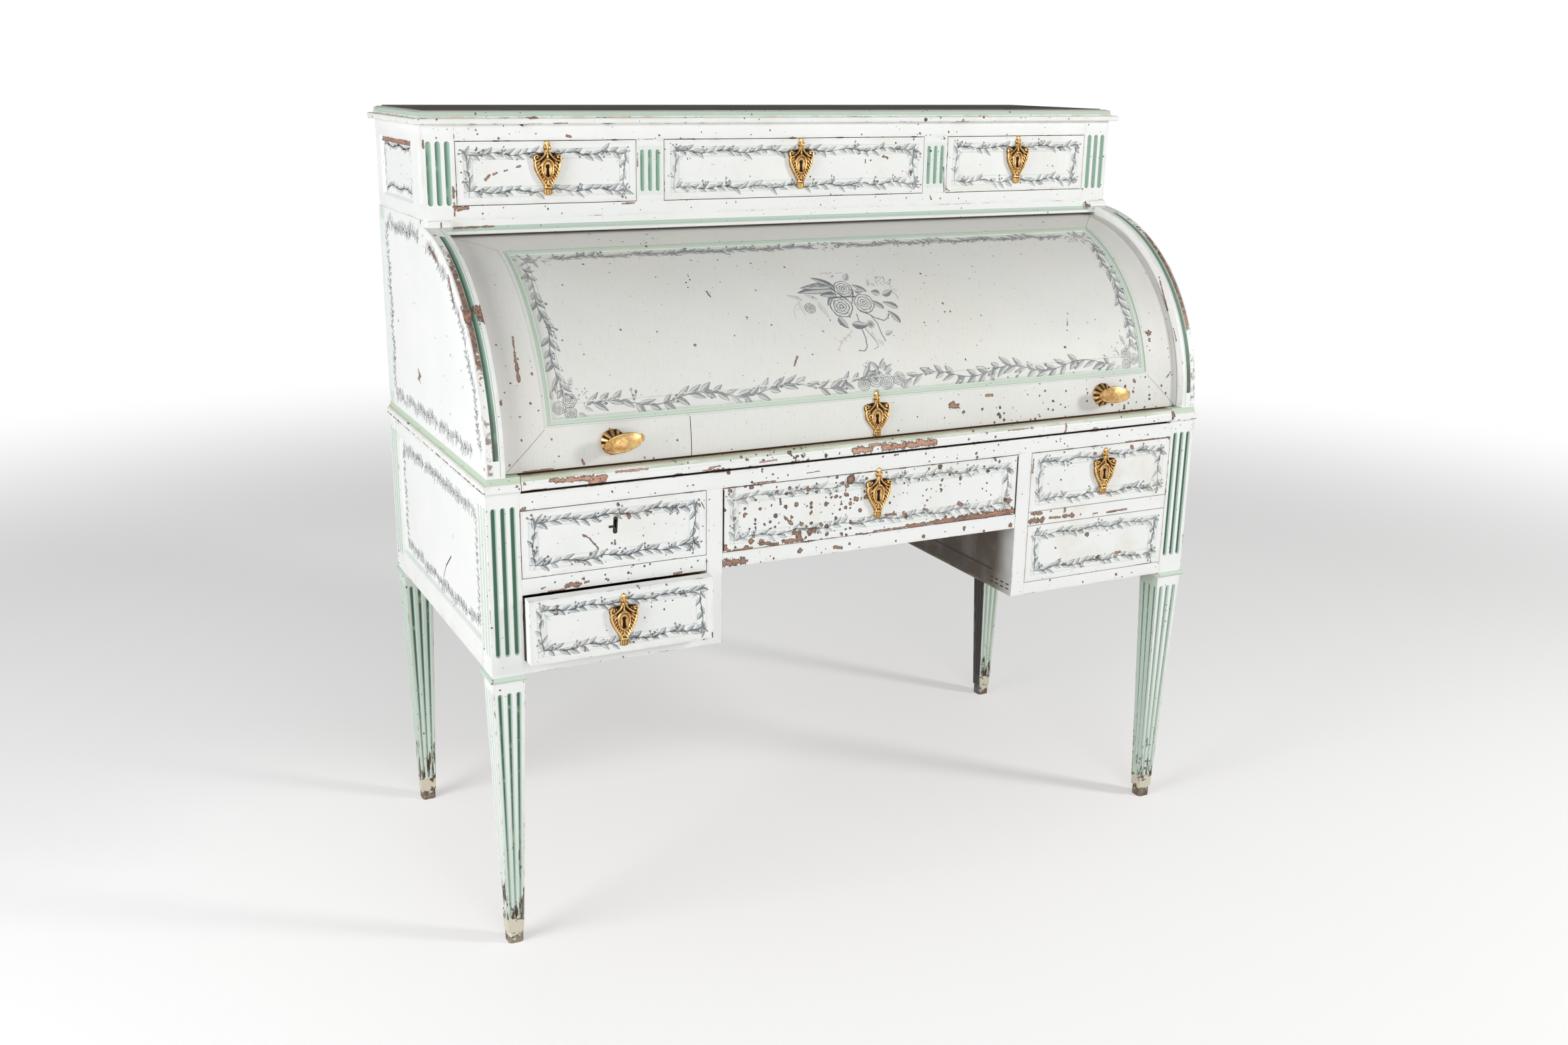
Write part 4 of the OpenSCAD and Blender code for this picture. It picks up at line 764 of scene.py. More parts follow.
# Cheeks: two solid quarter-round sides between which the cylinder turns, each with a green
# flute along its curved edge and a garland that follows its outline.
AXIS_Y, AXIS_Z = 326, 769  # the axis that the cylinder turns on
CHEEK_OUT, CHEEK_IN, CHEEK_BACK = 647, 619, 602  # a cheek's outer, inner and back faces
CHEEK_ROUND, FLUTE_X = 326, 632  # the radius of its curved edge, and the middle of the flute there


def rim_in(y, z):
    """Distance inside the cheek's curved edge."""
    dy, dz = y - AXIS_Y, z - AXIS_Z
    return CHEEK_ROUND - (dy * dy + dz * dz).math("SQRT")


def cheek_coat(p, x, y, z, ground):
    """The flute's green with painted shade and light on its walls, rubbed at its foot, a bead
    worn to the wood, and a faint rim.
    """
    across = abs(x) - FLUTE_X
    near = abs(across).fall(4.2, 4.8)
    deep = rim_in(y, z).rise(0.3, 0.9) * near * abs(x).fall(640, 642)
    front = y.fall(296, 298) * z.rise(766, 768)
    # Painted light and shade in the flute: its wall facing right is dark green, its wall facing left pale.
    lit_wall = (x - x / abs(x) * FLUTE_X).rise(-1.5, 2)
    green = lit_wall.blend(hue(70, 102, 85), hue(158, 190, 170))
    rubbed = z.fall(800, 900) * 0.7 * p.noise(24, 3, seed=4).rise(0.35, 0.6)
    green = rubbed.blend(green, hue(104, 104, 96))
    colour = (deep * front).blend(ground, green)
    bead = abs(x).rise(636.4, 637.2) * abs(x).fall(644.2, 645.8) * front
    frayed = (p.noise(10, 5, 0.7, seed=16) - 0.5) * 2.4
    gone = z.line(985, 10, 150) * 0.85 + frayed
    bead_wood = p.noise(6, 3, seed=17).rise(0.35, 0.65).blend(hue(112, 94, 86), hue(160, 130, 112))
    colour = (bead * gone.rise(0.4, 0.55)).blend(colour, bead_wood)
    low_end = z.fall(840, 910) * 0.6 + frayed
    colour = (bead * low_end.rise(0.5, 0.8)).blend(colour, hue(150, 142, 132))
    seam = across.line(-6.2, 0.3, 0.7) * front * 0.8
    colour = seam.blend(colour, hue(150, 170, 152))
    back = abs(abs(abs(y - 582) - 4) - 4).rise(1.6, 1.2) * abs(x).rise(645.2, 646.6)
    colour = (back * 0.8).blend(colour, hue(168, 200, 176))
    return (y.rise(556, 566) * abs(x).rise(645, 646.8) * 0.22).blend(colour, MINT)


def cheek_edge(p, x, y, z):
    curve = rim_in(y, z).highest((y - AXIS_Y) * 4).highest((AXIS_Z - z) * 4)
    side = (CHEEK_OUT - abs(x)).lowest(abs(x) - CHEEK_IN)
    return curve.highest(side).highest(0).lowest((CHEEK_BACK - y).highest(side) + 0.5)


def round_garland(turn):
    """A point of the stem that follows the cheek's curve, this many degrees up."""
    far = 300 + 4 * math.sin(turn * 0.35)
    return (AXIS_Y - far * math.cos(math.radians(turn)), AXIS_Z + far * math.sin(math.radians(turn)))


for sign, name, chips in (
        (-1, "cheek_left", [
            (374, 849, 14), (380, 857, 372, 840, 7), (366, 850, 384, 843, 6), (505, 919, 5),
            (388, 1075, 8), (268, 1066, 228, 1053, 9), (262, 1058, 7), (160, 1034, 140, 1000, 8),
            (148, 1018, 9), (98, 998, 66, 974, 7), (424, 1007, 3), (186, 943, 3), (305, 1080, 4),
            (10, 778, 6)]),
        (1, "cheek_right", [
            (60, 930, 90, 985, 4), (30, 880, 40, 900, 3), (500, 900, 8), (300, 1020, 5)])):
    drawn = painted(name, "cheek_paint", cheek_coat, dark=1, specks=0.55, flakes=0.4, edges=0.9,
                    edge=cheek_edge, chips=chips, seen=from_side)
    picture = Flat()
    for k, (a, b) in enumerate((((66, 787), (552, 787)), ((552, 787), (552, 1078)),
                                ((552, 1082), (330, 1082)))):
        garland(picture, wave(a, b, 3.0, 72, k, 4), 9, 15, 0.85, 0.95, 31 + k + sign)
    garland(picture, [round_garland(turn) for turn in range(4, 88)], 9, 14, 0.85, 0.95, 41 + sign)
    picture.lay("garland_" + name, lambda u, v, lift, s=sign: (s * (CHEEK_OUT + lift), u, v), drawn,
                "case", sign < 0)


# Cylinder: a quarter-round shutter of glued staves in a mitred frame, painted a warm grey
# white, with a green moulding, leaf garlands in the sunk border and roses in the middle.
ROUND, CYLINDER_X = 311, 617.5  # the cylinder's outer radius, and half its length
FIELD_X, FIELD_LOW, FIELD_HIGH = 550, 59.7, 380  # the moulding's outer edges, on the curve
CREAM = hue(229, 229, 225)


def arc_mm(y, z):
    """Length along the cylinder's curve above its axis, in millimetres."""
    return (z - AXIS_Z).math("ARCTAN2", AXIS_Y - y) * ROUND


def along_arc(x, y, z):
    return x, arc_mm(y, z)


def field_in(x, arc):
    """Distance inside the moulding's outer edge."""
    return (FIELD_X - abs(x)).lowest(arc - FIELD_LOW).lowest(FIELD_HIGH - arc)


def cylinder_coat(p, x, y, z, ground):
    """Painted shade toward the top and at the ends beside the cheeks, two green lines in the
    border, a faint weave, and painted shade in the gap at its foot.
    """
    arc = arc_mm(y, z)
    # Painted shade, darker toward the top of the curve.
    colour = (arc.rise(330, 470) * 0.55).blend(ground, hue(208, 203, 194))
    # Painted shadow of the cheeks on the cylinder's two ends.
    side = abs(x).rise(550, 612) * arc.fall(330, 400) * 0.35
    colour = side.blend(colour, hue(196, 191, 185))
    glow = p.noise(150, 3, 0.5, seed=14).rise(0.5, 0.7) * 0.3
    colour = glow.blend(colour, hue(230, 224, 210))
    d = field_in(x, arc)
    lines = d.line(12.6, 0.35, 0.9).highest(d.line(31.6, 0.35, 0.9))
    colour = (lines * 0.5 * p.noise(25, 3).rise(0.3, 0.5)).blend(colour, hue(170, 196, 172))
    weave = p.flat(x, arc).stretch(1, 0.12, 1).noise(3, 3, 0.6, seed=6)
    colour = (weave.rise(0.5, 0.8) * 0.25).blend(colour, hue(186, 182, 178))
    # Painted shade in the gap along the cylinder's foot.
    return arc.fall(-3.2, -2.2).blend(colour, SEAM_AND_GAP_SHADE)


def cylinder_edge(p, x, y, z):
    return (CYLINDER_X - abs(x)).lowest(arc_mm(y, z) + 3.2).highest(0)


def cylinder_wear(p, x, y, z):
    """More specks toward the right, most of all on the lower rail."""
    arc = arc_mm(y, z)
    return x.rise(80, 300) * arc.fall(30, 75) * 0.75 + x.rise(150, 420) * arc.fall(120, 230) * 0.3


drawn = painted(
    "cylinder_shell", "cylinder_paint", cylinder_coat, dark=1.05, tint=CREAM, specks=0.75, flakes=0.3,
    edges=0.8, edge=cylinder_edge, seen=along_arc, crowd=cylinder_wear,
    chips=[(565, 131, 12), (565, 118, 9), (523, 49, 8), (523, 36, 4), (145, 36, 157, 34, 11),
           (169, 23, 6), (214, 47, 226, 47, 5), (235, 25, 3.5), (133, 16, 3.5), (334, 45, 5),
           (298, 42, 3.5), (400, 166, 397, 155, 2.5), (181, 110, 4.5), (229, 183, 3.5),
           (172, 194, 3.5), (604, 58, 595, 49, 3), (364, 307, 3), (562, 99, 3),
           (-578, 199, -581, 164, 3.5), (-581, 164, -581, 131, 6), (-615, 101, 8), (-569, 97, 5),
           (-560, 140, 4), (-605, 116, 3), (-611, 105, 2.5), (-581, 296, 3), (-605, 188, 3),
           (-587, 79, 3), (-251, 259, -248, 249, 3.5), (-410, 199, 4), (-353, 192, 4), (-296, 166, 5),
           (-227, 177, 3), (-434, 244, 3), (-479, 288, 3), (-476, 164, 3), (-239, 266, 2.5),
           (-242, 327, 3), (-135, 122, -127, 136, 4), (-167, 257, 4), (-160, 191, 4), (134, 208, 4),
           (163, 210, 4), (-587, 45, 4), (-542, 42, 4), (-533, 16, 3), (-497, 8, -494, 1, 4),
           (-560, -1, 3), (-608, 10, 4), (-344, 23, 4), (-398, 1, 3.5), (-383, -1, 4),
           (-587, -2, -542, -2, 3.5)],
    cracks=[(-321, -5, -321, 57, 1.2), (-552, 57, -612, 0, 0.5), (552, 57, 612, 0, 0.5),
            (551, 382, 610, 450, 0.5), (-551, 382, -610, 450, 0.5)])


def moulding_coat(p, x, y, z, ground):
    """Painted highlights on its two rounds and painted shade in the quirk, with the cylinder's cream
    outside it.
    """
    d = field_in(x, arc_mm(y, z))
    # Painted highlights on the rounds, then painted shade in the quirk.
    light = d.line(4.2, 0.4, 1).highest(d.line(9.3, 0.6, 1.2))
    colour = (light * 0.55).blend(ground, hue(226, 230, 220))
    colour = (d.fall(1.9, 2.7) * 0.75).blend(colour, CREAM)
    return (d.line(2.9, 0.3, 0.7) * 0.35).blend(colour, hue(132, 152, 138))


painted("field_moulding", "frame_paint", moulding_coat, tint=hue(199, 214, 200), specks=0.5,
        flakes=0.4, edge=None)


def on_curve(x, arc, r):
    """A point of the cylinder at this length along its curve and this radius."""
    return (x, AXIS_Y - r * math.cos(arc / ROUND), AXIS_Z + r * math.sin(arc / ROUND))


def cylinder_skin(u, v, lift):
    """The cylinder's face: x and arc length, 1.5 mm lower in the sunk border."""
    d = min(FIELD_X - abs(u), v - FIELD_LOW, FIELD_HIGH - v)
    return on_curve(u, v, ROUND - (1.5 if 11 < d < 33 else 0) + lift)


def about(at, r, a):
    """A point at this distance and angle from another."""
    return (at[0] + r * math.cos(a), at[1] + r * math.sin(a))


def rose(drawing, at, r, seed=0):
    """A full rose: curled petals round a dark heart."""
    rnd = random.Random(seed)
    for ring, (far, count, wide) in enumerate(
            ((1.0, 6, 0.075), (0.68, 5, 0.065), (0.4, 4, 0.06), (0.18, 3, 0.09))):
        turn = rnd.uniform(0, 6)
        for k in range(count):
            a = turn + k * 2 * math.pi / count
            path = []
            for j in range(7):
                q = r * far * (1.0 + 0.07 * math.sin(j * math.pi / 6) * (1 + ring)) - j * r * 0.012
                path.append(about(at, q, a + 2 * math.pi / count * 1.15 * j / 6))
            drawing.stroke(path, [r * wide * t for t in (0.3, 1, 1.2, 1.3, 1, 0.7, 0.2)], 0.95)
            mid = a + 0.5
            if ring < 3 and rnd.random() < 0.8:
                drawing.stroke([about(at, r * far * 0.95, mid + s * 0.12) for s in range(3)],
                               r * 0.11, 0.3)
                drawing.leaf(about(at, r * (far - 0.2), mid), mid + 1.4, r * 0.38, r * 0.12,
                             0.3, 1, 0.4)


def sprig(drawing, path, leaf=7.0, tone=0.8):
    """A curved twig with small leaves on both sides."""
    drawing.stroke(path, 0.7, tone)
    for k in range(1, len(path)):
        a = math.atan2(path[k][1] - path[k - 1][1], path[k][0] - path[k - 1][0])
        for way in (-1, 1):
            drawing.leaf(path[k], a + way * 0.7, leaf * (1 - 0.05 * k), leaf * 0.36, 0.2, way, tone)


def seeds(drawing, at, spread, count, seed, r=0.9):
    rnd = random.Random(seed)
    for _ in range(count):
        drawing.dot((at[0] + rnd.uniform(-1, 1) * spread, at[1] + rnd.uniform(-1, 1) * spread),
                    r * rnd.uniform(0.7, 1.2), 0.9)


def leaves(drawing, at, count, long, seed, low=0.0, high=6.28, tone=0.9):
    """Leaves spread like a fan about a point."""
    rnd = random.Random(seed)
    for k in range(count):
        a = low + (high - low) * (k + 0.5) / count + rnd.uniform(-0.2, 0.2)
        foot = about(at, long * rnd.uniform(0.5, 0.8), a)
        drawing.leaf(foot, a + rnd.uniform(-0.3, 0.3), long * rnd.uniform(0.8, 1.2), long * 0.4,
                     0.22, rnd.choice((-1, 1)), tone)


picture = Flat()
for k, (a, b, high, period, apart, leaf, lean) in enumerate((
        ((-488, 86), (0, 88), 6.5, 150, 20, 25, 0.42), ((488, 86), (60, 88), 6.5, 150, 20, 25, 0.42),
        ((-486, 356), (-25, 357), 2.5, 90, 13, 20, 0.3), ((486, 356), (25, 357), 2.5, 90, 13, 20, 0.3))):
    garland(picture, wave(a, b, high, period, k * 1.7), apart, leaf, lean, 0.97, 60 + k, 1.2)
for sign in (-1, 1):
    stem = wave((sign * 527, 335), (sign * 523, 108), 3.0, 90, sign)
    garland(picture, stem, 17, 22, 0.38, 0.95, 70 + sign, 1.2)
    for k, (u, v, r) in enumerate(((526, 87, 9.5), (509, 96, 10), (509, 78, 9))):
        rose(picture, (sign * u, v), r, 80 + k + sign)
    for u, v, turn in ((535, 100, 1.8), (527, 108, 1.7), (505, 118, 1.5), (497, 76, 6.1),
                       (486, 84, 6.0)):
        picture.leaf((sign * u, v), turn if sign < 0 else math.pi - turn, 13, 5, 0.2, sign, 0.9, 0.4)
    seeds(picture, (sign * 488, 104), 9, 14, 85 + sign)
    seeds(picture, (sign * 524, 112), 7, 8, 86 + sign)
    sprig(picture, [(sign * (510 - k * 1.5), 108 + k * 5) for k in range(4)], 7, 0.7)
    for k in range(3):
        leaves(picture, (sign * (522 - k * 9), 354 - (k % 2) * 9), 5, 12, 90 + k + sign, tone=0.8)
    rose(picture, (sign * 513, 352), 8, 99 + sign)
    seeds(picture, (sign * 488, 344), 9, 12, 97 + sign)
    leaves(picture, (sign * 10, 357), 6, 10, 94 + sign)
for k, (u, v, r) in enumerate(((8, 90, 13), (28, 84, 12), (-14, 84, 11), (50, 88, 10))):
    rose(picture, (u, v), r, 110 + k)
leaves(picture, (17, 94), 8, 17, 115, 0.1, 3.1)
leaves(picture, (17, 78), 5, 12, 116, 3.3, 6.1)
seeds(picture, (-8, 116), 6, 9, 117)


def bloom(u, v):
    """The bouquet's own drawing grid, laid on the cylinder: about 4 steps make a millimetre."""
    return (-117 + (u - 330) * 0.24, 293 - (v - 100) * 0.25)


for at, r, seed in (((765, 275), 15.5, 1), ((705, 410), 19, 2), ((885, 395), 17, 3)):
    rose(picture, bloom(*at), r, seed)
picture.stroke([bloom(640, 342), bloom(740, 338), bloom(835, 342)], 2.6, 1.0)
picture.stroke([bloom(685, 280), bloom(740, 335), bloom(790, 392)], [1.6, 2.6, 1.8], 1.0)
picture.stroke([bloom(838, 285), bloom(815, 345), bloom(785, 405)], [1.4, 2.2, 1.6], 1.0)
for at, to, wide, tone in (
        ((700, 275), (415, 250), 17, 1.0), ((690, 255), (450, 218), 13, 0.9),
        ((705, 262), (572, 150), 12, 1.0), ((700, 320), (575, 300), 12, 1.0),
        ((690, 300), (592, 385), 9, 1.0), ((640, 250), (560, 210), 10, 1.0),
        ((430, 345), (335, 288), 7, 0.55), ((545, 348), (468, 295), 6, 0.55),
        ((545, 365), (570, 490), 8, 0.45), ((400, 350), (405, 460), 6, 0.4),
        ((800, 205), (856, 153), 11, 0.9), ((935, 310), (852, 234), 9, 1.0),
        ((960, 262), (990, 208), 6, 0.7), ((1030, 330), (972, 300), 13, 0.9),
        ((1045, 342), (1140, 318), 12, 1.0), ((1022, 445), (958, 368), 9, 0.95),
        ((1133, 445), (1035, 380), 11, 0.95), ((1115, 550), (1058, 450), 10, 0.95),
        ((1118, 262), (1158, 232), 6, 0.6), ((845, 298), (905, 312), 9, 0.9),
        ((655, 488), (700, 575), 12, 0.95), ((745, 540), (865, 572), 14, 1.0),
        ((978, 625), (1042, 614), 8, 0.75), ((948, 698), (918, 652), 6, 0.5),
        ((1000, 240), (1012, 270), 5, 0.6), ((880, 600), (885, 655), 6, 0.5)):
    (u0, v0), (u1, v1) = bloom(*at), bloom(*to)
    picture.leaf((u0, v0), math.atan2(v1 - v0, u1 - u0), math.hypot(u1 - u0, v1 - v0), wide,
                 0.14, 1, tone * 0.9, 0.85 * tone)
for path, wide, tone in (
        (((800, 470), (806, 560), (822, 640), (820, 700), (795, 726), (750, 720)), 1.6, 0.9),
        (((828, 560), (862, 620), (900, 670), (905, 705), (868, 719)), 1.2, 0.7),
        (((830, 450), (900, 482), (938, 545), (950, 620), (970, 672)), 1.5, 0.8),
        (((870, 462), (935, 508), (995, 530), (1030, 512), (1046, 480)), 1.7, 0.8),
        (((1130, 322), (1152, 345), (1160, 378)), 0.8, 0.7),
        (((1108, 500), (1120, 530), (1114, 556)), 0.8, 0.7),
        (((340, 480), (342, 425), (362, 390), (402, 360), (430, 345)), 0.5, 0.4),
        (((480, 350), (500, 350), (545, 362)), 0.5, 0.4),
        (((640, 142), (660, 133), (688, 136), (704, 152)), 0.8, 0.5),
        (((758, 142), (790, 138), (818, 138)), 0.8, 0.5)):
    picture.stroke([bloom(*q) for q in path], wide, tone)
rose(picture, bloom(468, 408), 9, 7)
sprig(picture, [bloom(735, 580), bloom(705, 612), bloom(672, 632), bloom(636, 652), bloom(605, 700)],
      6, 0.5)
for a in range(0, 360, 33):
    picture.leaf(bloom(885, 550), math.radians(a), 8, 2.6, 0.1, 1, 0.9)
seeds(picture, bloom(1075, 225), 9, 26, 5)
seeds(picture, bloom(718, 150), 7, 14, 6, 0.7)
seeds(picture, bloom(1150, 295), 6, 10, 8, 0.7)
picture.lay("flowers_cylinder", cylinder_skin, drawn, "cylinder")

# Pivot arms: flat iron arms behind the cylinder, screwed to its ends, with pins that turn
# in the cheeks.
material, shader, p, x, y, z = start("arm_iron")
rust = p.noise(16, 5, 0.6).rise(0.5, 0.66)
close(shader, rust.blend(hue(66, 62, 60), hue(96, 62, 44)), rust * 0.3 + 0.42, p.noise(3, 3) * 0.2)
shader.inputs["Metallic"].default_value = 0.7
dress("pivot_arms", material)


# Upper case: sides with sunk fields, fluted corner pilasters, narrower pilasters between
# the drawers, rails and a thin floor, all under the same white and green paint.
UPPER_FACE, UPPER_MID = 298, 1173  # the upper fronts' plane, and the middle of their height
WIDE_X, SLIM_X = 619, 271.25  # the middles of the corner pilasters and of the narrow ones
UPPER_X, FIELD_Y = 645, 467  # the outer face of a side, and the middle of its field


def upper_coat(p, x, y, z, ground):
    """Green flutes with painted shade on walls facing right and painted light on walls facing left,
    and green lines on the sides' front edges.
    """
    wide = abs(x) - WIDE_X
    slim = abs(x) - SLIM_X
    inside = (y - UPPER_FACE).rise(0.25, 0.7) * y.fall(303, 305)
    near = abs(wide).fall(20, 21).highest(abs(slim).fall(17.5, 18.5))
    glow = abs(slim).fall(18, 24) * abs(z - UPPER_MID).fall(36, 42) * 0.25
    colour = glow.blend(ground, MINT)
    # Painted light and shade: flute walls facing right are dark green, walls facing left pale.
    turned = p.node("ShaderNodeTexCoord", out=1).part(0)
    green = turned.rise(-0.35, 0.45).blend(hue(178, 208, 190), hue(92, 134, 112))
    green = (p.noise(18, 3, seed=4).rise(0.52, 0.7) * 0.4).blend(green, hue(200, 216, 204))
    colour = (inside * near).blend(colour, green)
    lines = abs(x).rise(642.5, 644.6) * abs(abs(y - 313).math("PINGPONG", 3.5)).fall(0.6, 1.6)
    lines = lines * y.line(313, 9, 10) * abs(z - UPPER_MID).fall(48, 50)
    return (lines * 0.7).blend(colour, hue(168, 202, 178))


def upper_skin(sign):
    """The upper case's side: 4 mm lower in its field, with sloping edges."""
    def at(u, v, lift):
        edge = min(105 - abs(u - FIELD_Y), 49 - abs(v - UPPER_MID))
        return (sign * (UPPER_X - max(0, min(1, edge / 5)) * 4 + lift), u, v)
    return at


for sign, name, chips in (
        (-1, "upper_side_left", [
            (-598, 1153, -597, 1138, 5), (-641, 1223, -641, 1213, 4), (-620, 1227, 4),
            (-596, 1122, 8), (-597, 1110, -597, 1130, 2.5)]),
        (1, "upper_side_right", [(596, 1124, 4), (600, 1240, 3)])):
    drawn = painted(name, "upper_paint", upper_coat, dark=1, specks=0.7, flakes=0.5, chips=chips)
    picture = Flat()
    frame_garland(picture, (376, 1140), (558, 1206), 21 + sign, 12, 8, 2, 0.95, 0.8, 0.0)
    picture.lay("garland_" + name, upper_skin(sign), drawn, "case", sign < 0)
for name, chips in (
        ("upper_dividers", [
            (289, 1169, 292, 1126, 2.5), (-293, 1200, -293, 1180, 2), (-255, 1200, 3)]),
        ("upper_rail", [
            (-556, 1232, 3), (-462, 1232, 4), (-523, 1225, 5), (-412, 1228, -406, 1227, 4),
            (-255, 1228, 4), (120, 1226, 3), (420, 1224, 3)]),
        ("upper_floor", [
            (-594, 1121, -578, 1121, 8), (-552, 1112, 4), (-519, 1120, 4), (-446, 1116, 4),
            (-355, 1114, 4), (-320, 1121, -299, 1122, 3), (263, 1120, 266, 1113, 3),
            (285, 1115, 4)])):
    painted(name, "upper_paint", upper_coat, chips=chips, edges=1.1)


# Cove rail and cornice: run mouldings, white and green in bands. Under the rail, painted
# shade marks the ragged gap where the cylinder slides in.
def cove_coat(p, x, y, z, ground):
    band = z.rise(1086.6, 1087.4) * z.fall(1092.2, 1092.9) * y.fall(297.2, 298)
    colour = band.blend(ground, hue(192, 214, 198))
    line = z.line(1092.8, 0.3, 0.9) * 0.5
    colour = line.blend(colour, hue(150, 152, 144))
    # Painted shade in the gap under the rail's lip.
    dark = z.fall(1081.2, 1082.6).highest(z.fall(1080, 1086.4) * y.rise(290.5, 292))
    return dark.blend(colour, hue(48, 42, 38))


painted("cove_rail", "moulding_paint", cove_coat, edges=1.2,
        chips=[(-600, 1091, -536, 1092.5, 3.2), (-622, 1100, -622, 1086, 3), (604, 1100, 607, 1092, 4)])


def cornice_coat(p, x, y, z, ground):
    band = z.rise(1258.3, 1259) * z.fall(1263.6, 1264.6)
    colour = band.blend(ground, hue(190, 213, 196))
    top = z.rise(1264, 1265)
    colour = top.blend(colour, hue(222, 228, 216))
    yellow = z.line(1257, 0.8, 2) * p.noise(40, 4, 0.6, seed=3).rise(0.45, 0.62)
    colour = (yellow * 0.7).blend(colour, hue(216, 190, 160))
    drip = p.stretch(1, 1, 0.2).noise(22, 3, seed=9).rise(0.6, 0.68) * band
    return (drip * 0.5).blend(colour, hue(216, 214, 194))


def cornice_edge(p, x, y, z):
    return abs(z - 1256.2).lowest(abs(z - 1247.4)) * 0.9 + 0.2


painted("cornice", "moulding_paint", cornice_coat, edge=cornice_edge,
        chips=[(-476, 1256, -462, 1256, 4), (-571, 1247, -559, 1247, 2),
               (-437, 1248, -415, 1248, 2), (270, 1254, 4), (317, 1249, 5),
               (303, 1247, 331, 1247, 2), (545, 1251, 3)])


# Top board: a loose plank that was once stained dark, gone grey and streaked.
material, shader, p, x, y, z = start("top_wood")
grain = p.stretch(0.03, 1, 1)
streak = grain.noise(14, 5, 0.62)
fine = grain.noise(2.0, 4, 0.65, seed=2)
tone = streak.rise(0.32, 0.68).blend(hue(70, 61, 57), hue(112, 102, 98))
tone = (fine.rise(0.5, 0.72) * 0.6).blend(tone, hue(48, 42, 40))
tone = (p.noise(90, 4, 0.6, seed=3).rise(0.52, 0.7) * 0.5).blend(tone, hue(136, 130, 128))
tone = (p.noise(26, 3, seed=5).rise(0.62, 0.7) * 0.6).blend(tone, hue(44, 36, 32))
close(shader, tone, fine * 0.25 + 0.4, streak * 0.2 + fine * 0.15)
dress("top_board", material, ARRIS)

# Drawer fronts: each has a flat rim and a shallow field with sloping edges. A garland is
# painted on the slopes; the wear differs from front to front.
RIM, SLOPE, SUNK = 11, 16, 3  # the flat rim, the sloping edge, and how deep the field lies


def front_skin(mid, face, w, h):
    """The face of a front, measured from its middle."""
    def at(u, v, lift):
        d = min(w / 2 - abs(u), h / 2 - abs(v)) - RIM
        return (mid[0] + u, face + max(0, min(1, d / SLOPE)) * SUNK - lift, mid[1] + v)
    return at


def front_coat(mid, face, w, h):
    """A green line and a wash on the slopes of a front's field, and painted shade in its gaps."""
    def coat(p, x, y, z, ground):
        d = (w / 2 - abs(x - mid[0])).lowest(h / 2 - abs(z - mid[1]))
        lines = d.line(RIM + 0.5, 0.3, 1.1).highest(d.line(RIM + SLOPE, 0.4, 1.4))
        slope = d.rise(RIM - 2, RIM + 2) * d.fall(RIM + SLOPE - 2, RIM + SLOPE + 2)
        colour = (slope * 0.3).blend(ground, hue(222, 229, 226))
        colour = (lines * 0.4).blend(colour, hue(190, 206, 196))
        soil = p.noise(90, 4, 0.6, seed=13).rise(0.45, 0.7) * 0.35
        colour = soil.blend(colour, hue(226, 222, 210))
        # Painted shade in the gaps round the front.
        behind = (y - (face + 1 if face >= 0 else -7)).rise(0, 2)
        gap = d.fall(0.1, 0.5) * d.rise(-1.6, -0.8) * behind
        return gap.blend(colour, SEAM_AND_GAP_SHADE)
    return coat


def front_set(name, mid, face, w, h, seed, chips, parts=None, dark=1, **look):
    """Dresses one front and lays its garlands on it. Its parts are the drawers it imitates."""
    coat = front_coat(mid, face, w, h)
    if parts:
        def coat(p, x, y, z, ground):
            for centre, pw, ph in parts:
                ground = front_coat(centre, face, pw, ph)(p, x, y, z, ground)
            seam = z.line(583, 0.5, 0.9).highest(z.line(608, 0.5, 0.9))
            return (seam * 0.7).blend(ground, hue(120, 112, 104))
    drawn = painted("front_" + name, "front_paint", coat, ARRIS, dark, chips=chips, **look)
    for k, (centre, pw, ph) in enumerate(parts or [(mid, w, h)]):
        picture = Flat()
        u, v = pw / 2 - RIM - SLOPE / 2, ph / 2 - RIM - SLOPE / 2
        frame_garland(picture, (-u, -v), (u, v), seed + k * 5, 18.0, 14.5, 2.2, 0.95, 0.95)
        picture.lay("garland_front_" + name + "_" + "ab"[k], front_skin(centre, face, pw, ph), drawn,
                    "drawer_" + name)


front_set("left_upper", (-451, 660.5), 0, 295.6, 102.6, 3,
          [(-502, 664, -492, 658, 3.5), (-492, 658, -479, 640, 3.5), (-452, 651, -452, 644, 4.5),
           (-447, 708, -447, 706, 5), (-431, 689, -428, 683, 6), (-443, 690, -437, 691, 4),
           (-474, 683, 4), (-350, 680, 4), (-361, 681, 3.5), (-311, 694, -306, 684, 2),
           (-491, 634, 5), (-445, 637, 4), (-465, 637, 4), (-309, 656, 3), (-406, 652, 3),
           (-369, 667, 3), (-511, 624, 3.5), (-502, 619, 3), (-494, 618, 3)],
          cracks=[(-450.5, 684, -451.5, 664, 7.5), (-460, 672, -455, 672, 4)], specks=0.7, flakes=0.6,
          dark=1.2)
front_set("left_lower", (-451, 531.5), -28, 295.6, 100.6, 4,
          [(-556, 570, -555, 556, 5), (-514, 499, -514, 492, 3), (-404, 568, 4), (-381, 579, 4),
           (-426, 580, 4), (-382, 552, 3.5), (-384, 539, 4), (-405, 553, 3), (-416, 530, 4),
           (-405, 546, 3), (-304, 489, -304, 482, 3),
           (-537, 555, 3), (-531, 550, 3), (-484, 505, 3)],
          specks=0.6, flakes=0.6, dark=1.2)
